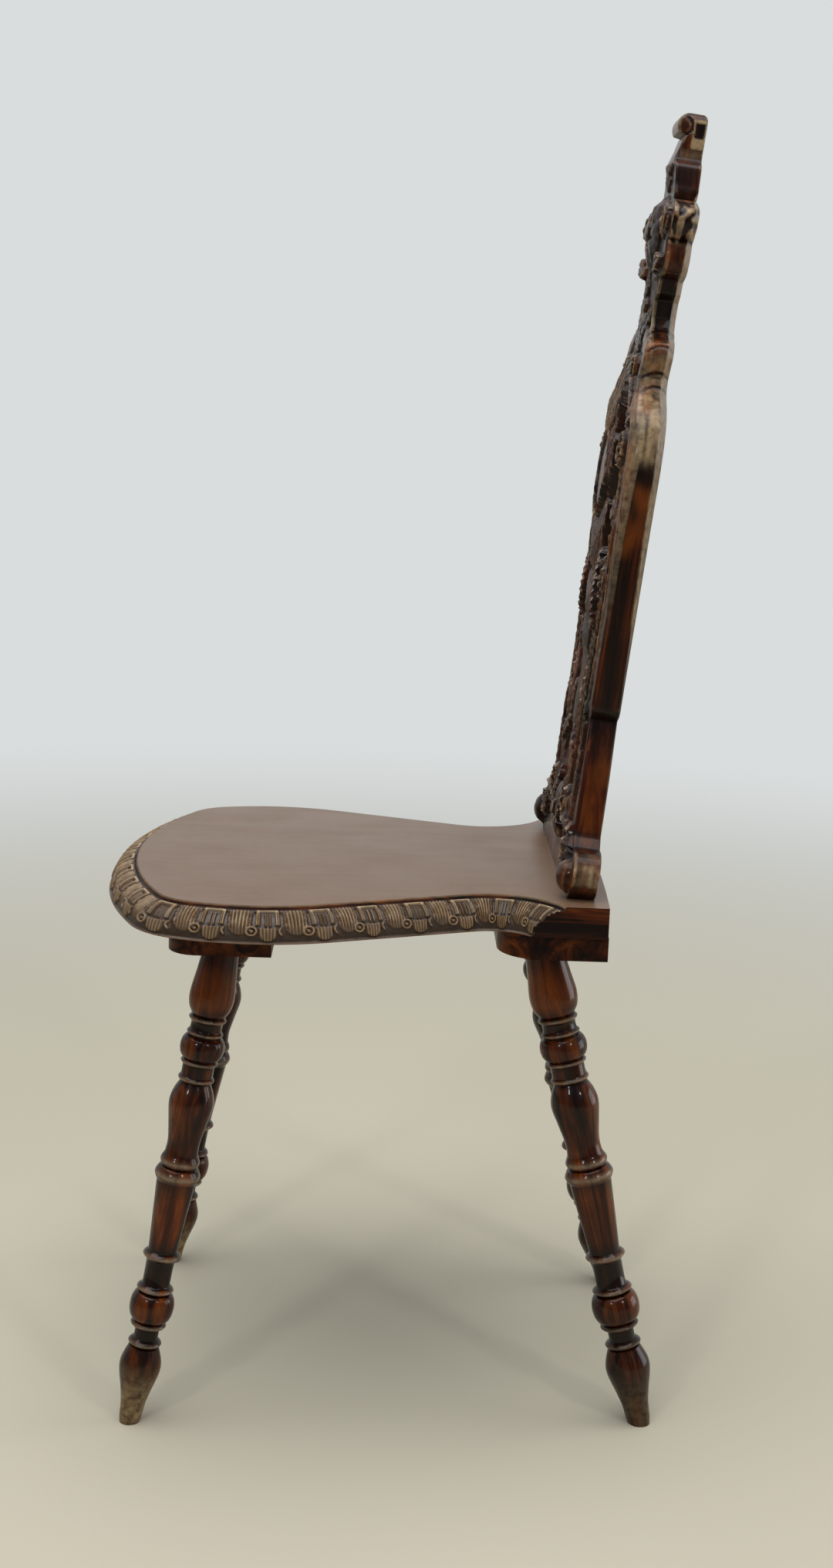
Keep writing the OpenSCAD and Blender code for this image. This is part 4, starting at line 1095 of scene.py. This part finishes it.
def walnut(name, colours, edges, gloss=0.3, shine=0.4, coat=0.0, pore=0.4, least_wear_and_highlight=0.15, amber_and_lit_to=None,
           turn=(0, 0, 0), marked=True, top=False):
    """Stained and polished walnut: figured grain, dark pores, worn edges with painted highlights, and painted
    shade with old wax in the hollows.
    """
    material, tree, shader = new_material(name)

    def mixed(share, under, over):
        return add(tree, "Mix", {"data_type": "RGBA"}, i0=share, i6=under, i7=four(over)).outputs[2]

    def product(*values):
        result = values[0]
        for value in values[1:]:
            result = joined(tree, "MULTIPLY", result, value)
        return result

    if marked:
        wood = attribute(tree, "wood", "Vector")
    else:
        place = add(tree, "TexCoord").outputs["Object"]
        wood = add(tree, "Mapping", Vector=place, Rotation=turn).outputs["Vector"]
    # grain runs along z: figure 18 mm across and 300 mm long, pores 0.5 mm across and 12 mm long
    figure_at = add(tree, "Mapping", Vector=wood, Scale=(55, 55, 3.2)).outputs["Vector"]
    figure = clouds(tree, figure_at, 1.0, 5, 0.62, 1.4)
    pore_at = add(tree, "Mapping", Vector=wood, Scale=(1900, 1900, 80)).outputs["Vector"]
    pores = clouds(tree, pore_at, 1.0, 2, 0.6)
    cloudy = spread(tree, clouds(tree, wood, 17, 3), 0.38, 0.66, 0.0, 0.72)
    tone = graded(tree, figure, ((0.38, colours.dark), (0.5, colours.heart), (0.68, colours.light)))
    tone = mixed(cloudy, tone, colours.dark)
    dull = cloudy
    if marked:
        shaped = spread(tree, attribute(tree, "plain"), 0.0, 1.0, 1.0, 0.0)
        masks = split(tree, attribute(tree, "finish", "Vector"))
        patch = clouds(tree, wood, 160, 4, 0.6)
        # golden stain on the seat's rim and amber patches on the back; on the legs painted light on the urns
        golden = product(masks["Y"], spread(tree, figure, 0.2, 0.8, 0.6), shaped)
        tone = mixed(golden, tone, amber_and_lit_to or colours.rim)
    if top:
        upward = split(tree, add(tree, "NewGeometry").outputs["Normal"])["Z"]
        upward = spread(tree, upward, 0.97, 0.995)
        faded = product(upward, spread(tree, figure, 0.3, 0.7, 0.97, 0.78))
        tone = mixed(faded, tone, colours.seat)
        dull = product(cloudy, spread(tree, faded, 0.0, 1.0, 1.0, 0.15))
    tone = mixed(spread(tree, pores, 0.56, 0.72, 0.0, pore), tone, colours.grime_and_shade)
    if marked:
        # worn edges, which on the back and on the rings' crests are also painted highlights
        worn_edge_and_highlight = product(attribute(tree, "worn_and_highlit"), spread(tree, patch, 0.3, 0.7, least_wear_and_highlight, 0.9), shaped)
        tone = mixed(worn_edge_and_highlight, tone, edges)
        # scuffed bare wood at the legs' toes; on the back painted highlights, and a painted reflection along
        # the rear bevel
        scuff_and_highlight = product(masks["Z"], spread(tree, patch, 0.38, 0.62, 0.25))
        tone = mixed(scuff_and_highlight, tone, colours.scuffed_and_highlight)
        # painted shade in the hollows, quirks and necks, with old wax and dust
        shade_and_wax = product(attribute(tree, "hollow"), 0.78 if top else 0.9, shaped)
        tone = mixed(shade_and_wax, tone, colours.grime_and_shade)
        dull = joined(tree, "MAXIMUM", joined(tree, "MAXIMUM", dull, worn_edge_and_highlight), scuff_and_highlight)
    tree.links.new(tone, shader.inputs["Base Color"])
    tree.links.new(spread(tree, dull, 0.0, 1.0, gloss, gloss + 0.32), shader.inputs["Roughness"])
    shader.inputs["Specular IOR Level"].default_value = shine
    if top:
        waxed = joined(tree, "MAXIMUM", faded, golden)
        tree.links.new(spread(tree, waxed, 0.0, 1.0, 0.15, shine), shader.inputs["Specular IOR Level"])
    shader.inputs["Coat Weight"].default_value = coat
    shader.inputs["Coat Roughness"].default_value = 0.07
    waves = clouds(tree, wood, 90, 3)
    wave = add(tree, "Bump", Height=waves, Strength=0.04 if top else 0.12, Distance=0.0012)
    grain = add(tree, "Bump", {"invert": True}, Height=pores, Strength=0.18, Distance=0.0003,
                Normal=wave.outputs[0])
    tree.links.new(grain.outputs["Normal"], shader.inputs["Normal"])
    return material


class SGABELLO_OT_battens(bpy.types.Operator):
    """Finish the battens under the seat and the wedges in the back's tenons"""
    bl_idname = "sgabello.battens"
    bl_label = "Battens and wedges"

    def execute(self, context):
        colours = context.scene.sgabello_colours
        # planed and stained dark: plain and satin, with the grain along each batten
        finish = walnut("walnut, planed and stained", colours, colours.ring, gloss=0.3, shine=0.12,
                        pore=0.5, turn=(0, math.radians(90), 0), marked=False)
        # split and driven in: open pores and no polish
        wedge = walnut("walnut, split wedge", colours, colours.ring, gloss=0.5, shine=0.25, pore=0.5,
                       marked=False)
        for name in ("front_batten", "rear_batten", "back_wedge_left", "back_wedge_right"):
            for slot in bpy.data.objects[name].material_slots:
                slot.material = wedge if "wedge" in name else finish
        return {"FINISHED"}


class SGABELLO_OT_screws(bpy.types.Operator):
    """Finish the iron screws under the battens"""
    bl_idname = "sgabello.screws"
    bl_label = "Screws"

    def execute(self, context):
        # forged iron darkened by oil and time: dull, with rust in patches
        iron, tree, shader = new_material("iron, forged and oiled")
        spots = clouds(tree, add(tree, "TexCoord").outputs["Object"], 900, 5)
        rust = graded(tree, spots, ((0.45, linear("#4a4744")), (0.7, linear("#6b3f26"))))
        tree.links.new(rust, shader.inputs["Base Color"])
        shader.inputs["Metallic"].default_value = 0.85
        tree.links.new(spread(tree, spots, 0.3, 0.8, 0.38, 0.75), shader.inputs["Roughness"])
        bump = add(tree, "Bump", Height=spots, Strength=0.3, Distance=0.0002)
        tree.links.new(bump.outputs["Normal"], shader.inputs["Normal"])
        for name in ("front_batten_screws", "rear_batten_screws"):
            for slot in bpy.data.objects[name].material_slots:
                slot.material = iron
        return {"FINISHED"}


class SGABELLO_OT_stage(bpy.types.Operator):
    """Set the camera, the pale floor and the soft lights"""
    bl_idname = "sgabello.stage"
    bl_label = "Camera, floor and lights"

    def execute(self, context):
        scene = context.scene
        scene.view_settings.view_transform = "Standard"
        self.camera(scene)
        self.floor(scene)
        for lamp in (("window", (2.7, -1.5, 2.3), (0, 0, 0.5), (0.36, 0.52), 15),
                     ("second window", (2.5, 1.9, 2.5), (0, 0, 0.5), (0.36, 0.52), 15),
                     ("ceiling", (0.3, -0.3, 3.2), (0, 0, 0.5), (2.8, 2.8), 86),
                     ("right", (-0.3, 3.2, 0.8), (0, 0.1, 0.6), (1.7, 1.7), 34)):
            self.light(*lamp)
        self.surroundings(scene)
        return {"FINISHED"}

    def surroundings(self, scene):
        """A pale backdrop for rays from the camera and for reflections that look towards the wall at -x.
        The rest meets an even light, dimmer in reflections."""
        world = bpy.data.worlds.new("studio")
        scene.world = world
        world.use_nodes = True
        tree = world.node_tree
        tree.nodes.clear()
        path = add(tree, "LightPath").outputs
        mirrored = joined(tree, "MAXIMUM", path["Is Glossy Ray"], path["Is Transmission Ray"])
        pale = add(tree, "Background", Color=four(scene.sgabello_colours.backdrop), Strength=1.0)
        strength = spread(tree, mirrored, 0.0, 1.0, 0.36, 0.2)
        ambient = add(tree, "Background", Color=four(linear("#eef1f4")), Strength=strength)
        towards = split(tree, add(tree, "TexCoord").outputs["Generated"])["X"]
        share = joined(tree, "MULTIPLY", mirrored, spread(tree, towards, 0.3, -0.5))
        share = joined(tree, "MAXIMUM", path["Is Camera Ray"], share)
        mix = add(tree, "MixShader", i0=share, i1=ambient.outputs[0], i2=pale.outputs[0])
        tree.links.new(mix.outputs[0], add(tree, "OutputWorld").inputs["Surface"])

    def camera(self, scene):
        """At the photograph's angle: beside the seat, looking across it and a little down."""
        yaw, pitch, roll = (math.radians(v) for v in (0.855, 11.377, 1.975))
        level = math.cos(pitch)
        ahead = Vector((-math.cos(yaw) * level, math.sin(yaw) * level, -math.sin(pitch)))
        right = Vector((math.sin(yaw), math.cos(yaw), 0))
        above = right.cross(ahead)
        r = math.cos(roll) * right + math.sin(roll) * above
        u = -math.sin(roll) * right + math.cos(roll) * above
        data = bpy.data.cameras.new("camera")
        data.sensor_fit = "VERTICAL"
        data.sensor_height = 36
        focal, height = 2567, 2032  # both in the photograph's pixels
        data.lens = focal / height * 36
        camera = bpy.data.objects.new("camera", data)
        turn = Matrix((r, u, -ahead)).transposed().to_4x4()
        camera.matrix_world = Matrix.Translation((1.6925, -0.0024, 0.8645)) @ turn
        scene.collection.objects.link(camera)
        scene.camera = camera

    def floor(self, scene):
        bm = bmesh.new()
        bmesh.ops.create_circle(bm, cap_ends=True, segments=96, radius=14)
        floor = finished(bm, "floor")
        # matt painted near the chair, where it keeps the shadow, and one with the backdrop from 3 m out
        material, tree, shader = new_material("floor, matt painted")
        shader.inputs["Base Color"].default_value = four(scene.sgabello_colours.floor)
        shader.inputs["Roughness"].default_value = 0.75
        place = add(tree, "TexCoord").outputs["Object"]
        away = add(tree, "VectorMath", {"operation": "LENGTH"}, Vector=place).outputs["Value"]
        fade = add(tree, "MapRange", {"interpolation_type": "SMOOTHSTEP"},
                   i0=away, i1=0.7, i2=3.2, i3=0.0, i4=1.0).outputs["Result"]
        share = joined(tree, "MULTIPLY", fade, add(tree, "LightPath").outputs["Is Camera Ray"])
        pale = add(tree, "Emission", Color=four(scene.sgabello_colours.backdrop), Strength=1.0)
        mix = add(tree, "MixShader", i0=share, i1=shader.outputs[0], i2=pale.outputs[0])
        tree.links.new(mix.outputs[0], tree.nodes["Material Output"].inputs["Surface"])
        floor.data.materials.append(material)

    def light(self, name, place, aim, size, power):
        data = bpy.data.lights.new(name, "AREA")
        data.shape = "RECTANGLE"
        data.size, data.size_y = size
        data.energy = power
        lamp = bpy.data.objects.new(name, data)
        lamp.location = place
        lamp.rotation_euler = (Vector(aim) - Vector(place)).to_track_quat("-Z", "Y").to_euler()
        bpy.context.scene.collection.objects.link(lamp)


class SGABELLO_PT_panel(bpy.types.Panel):
    """The chair's pieces and sizes"""
    bl_idname = "SGABELLO_PT_panel"
    bl_label = "Sgabello chair"
    bl_space_type = "VIEW_3D"
    bl_region_type = "UI"
    bl_category = "Sgabello"

    def draw(self, context):
        scene = context.scene
        for title, group in (("Seat", scene.sgabello_seat), ("Backboard", scene.sgabello_back),
                             ("Legs", scene.sgabello_legs), ("Colours", scene.sgabello_colours)):
            box = self.layout.box()
            box.label(text=title)
            for prop in group.bl_rna.properties:
                if prop.identifier not in {"rna_type", "name"}:
                    box.prop(group, prop.identifier)
        for operator in OPERATORS:
            self.layout.operator(operator.bl_idname)


OPERATORS = (SGABELLO_OT_seat, SGABELLO_OT_back, SGABELLO_OT_legs, SGABELLO_OT_battens,
             SGABELLO_OT_screws, SGABELLO_OT_stage)
GROUPS = (("sgabello_seat", SgabelloSeatSizes), ("sgabello_back", SgabelloBackSizes),
          ("sgabello_legs", SgabelloLegSizes), ("sgabello_colours", SgabelloColours))


def register():
    for _, group in GROUPS:
        bpy.utils.register_class(group)
    for name, group in GROUPS:
        setattr(bpy.types.Scene, name, bpy.props.PointerProperty(type=group))
    for operator in OPERATORS:
        bpy.utils.register_class(operator)
    bpy.utils.register_class(SGABELLO_PT_panel)


def unregister():
    bpy.utils.unregister_class(SGABELLO_PT_panel)
    for operator in reversed(OPERATORS):
        bpy.utils.unregister_class(operator)
    for name, group in reversed(GROUPS):
        delattr(bpy.types.Scene, name)
        bpy.utils.unregister_class(group)


def main():
    register()
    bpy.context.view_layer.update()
    bpy.ops.sgabello.seat()
    bpy.ops.sgabello.back()
    bpy.ops.sgabello.legs()
    bpy.ops.sgabello.battens()
    bpy.ops.sgabello.screws()
    bpy.ops.sgabello.stage()


if __name__ == "__main__":
    main()
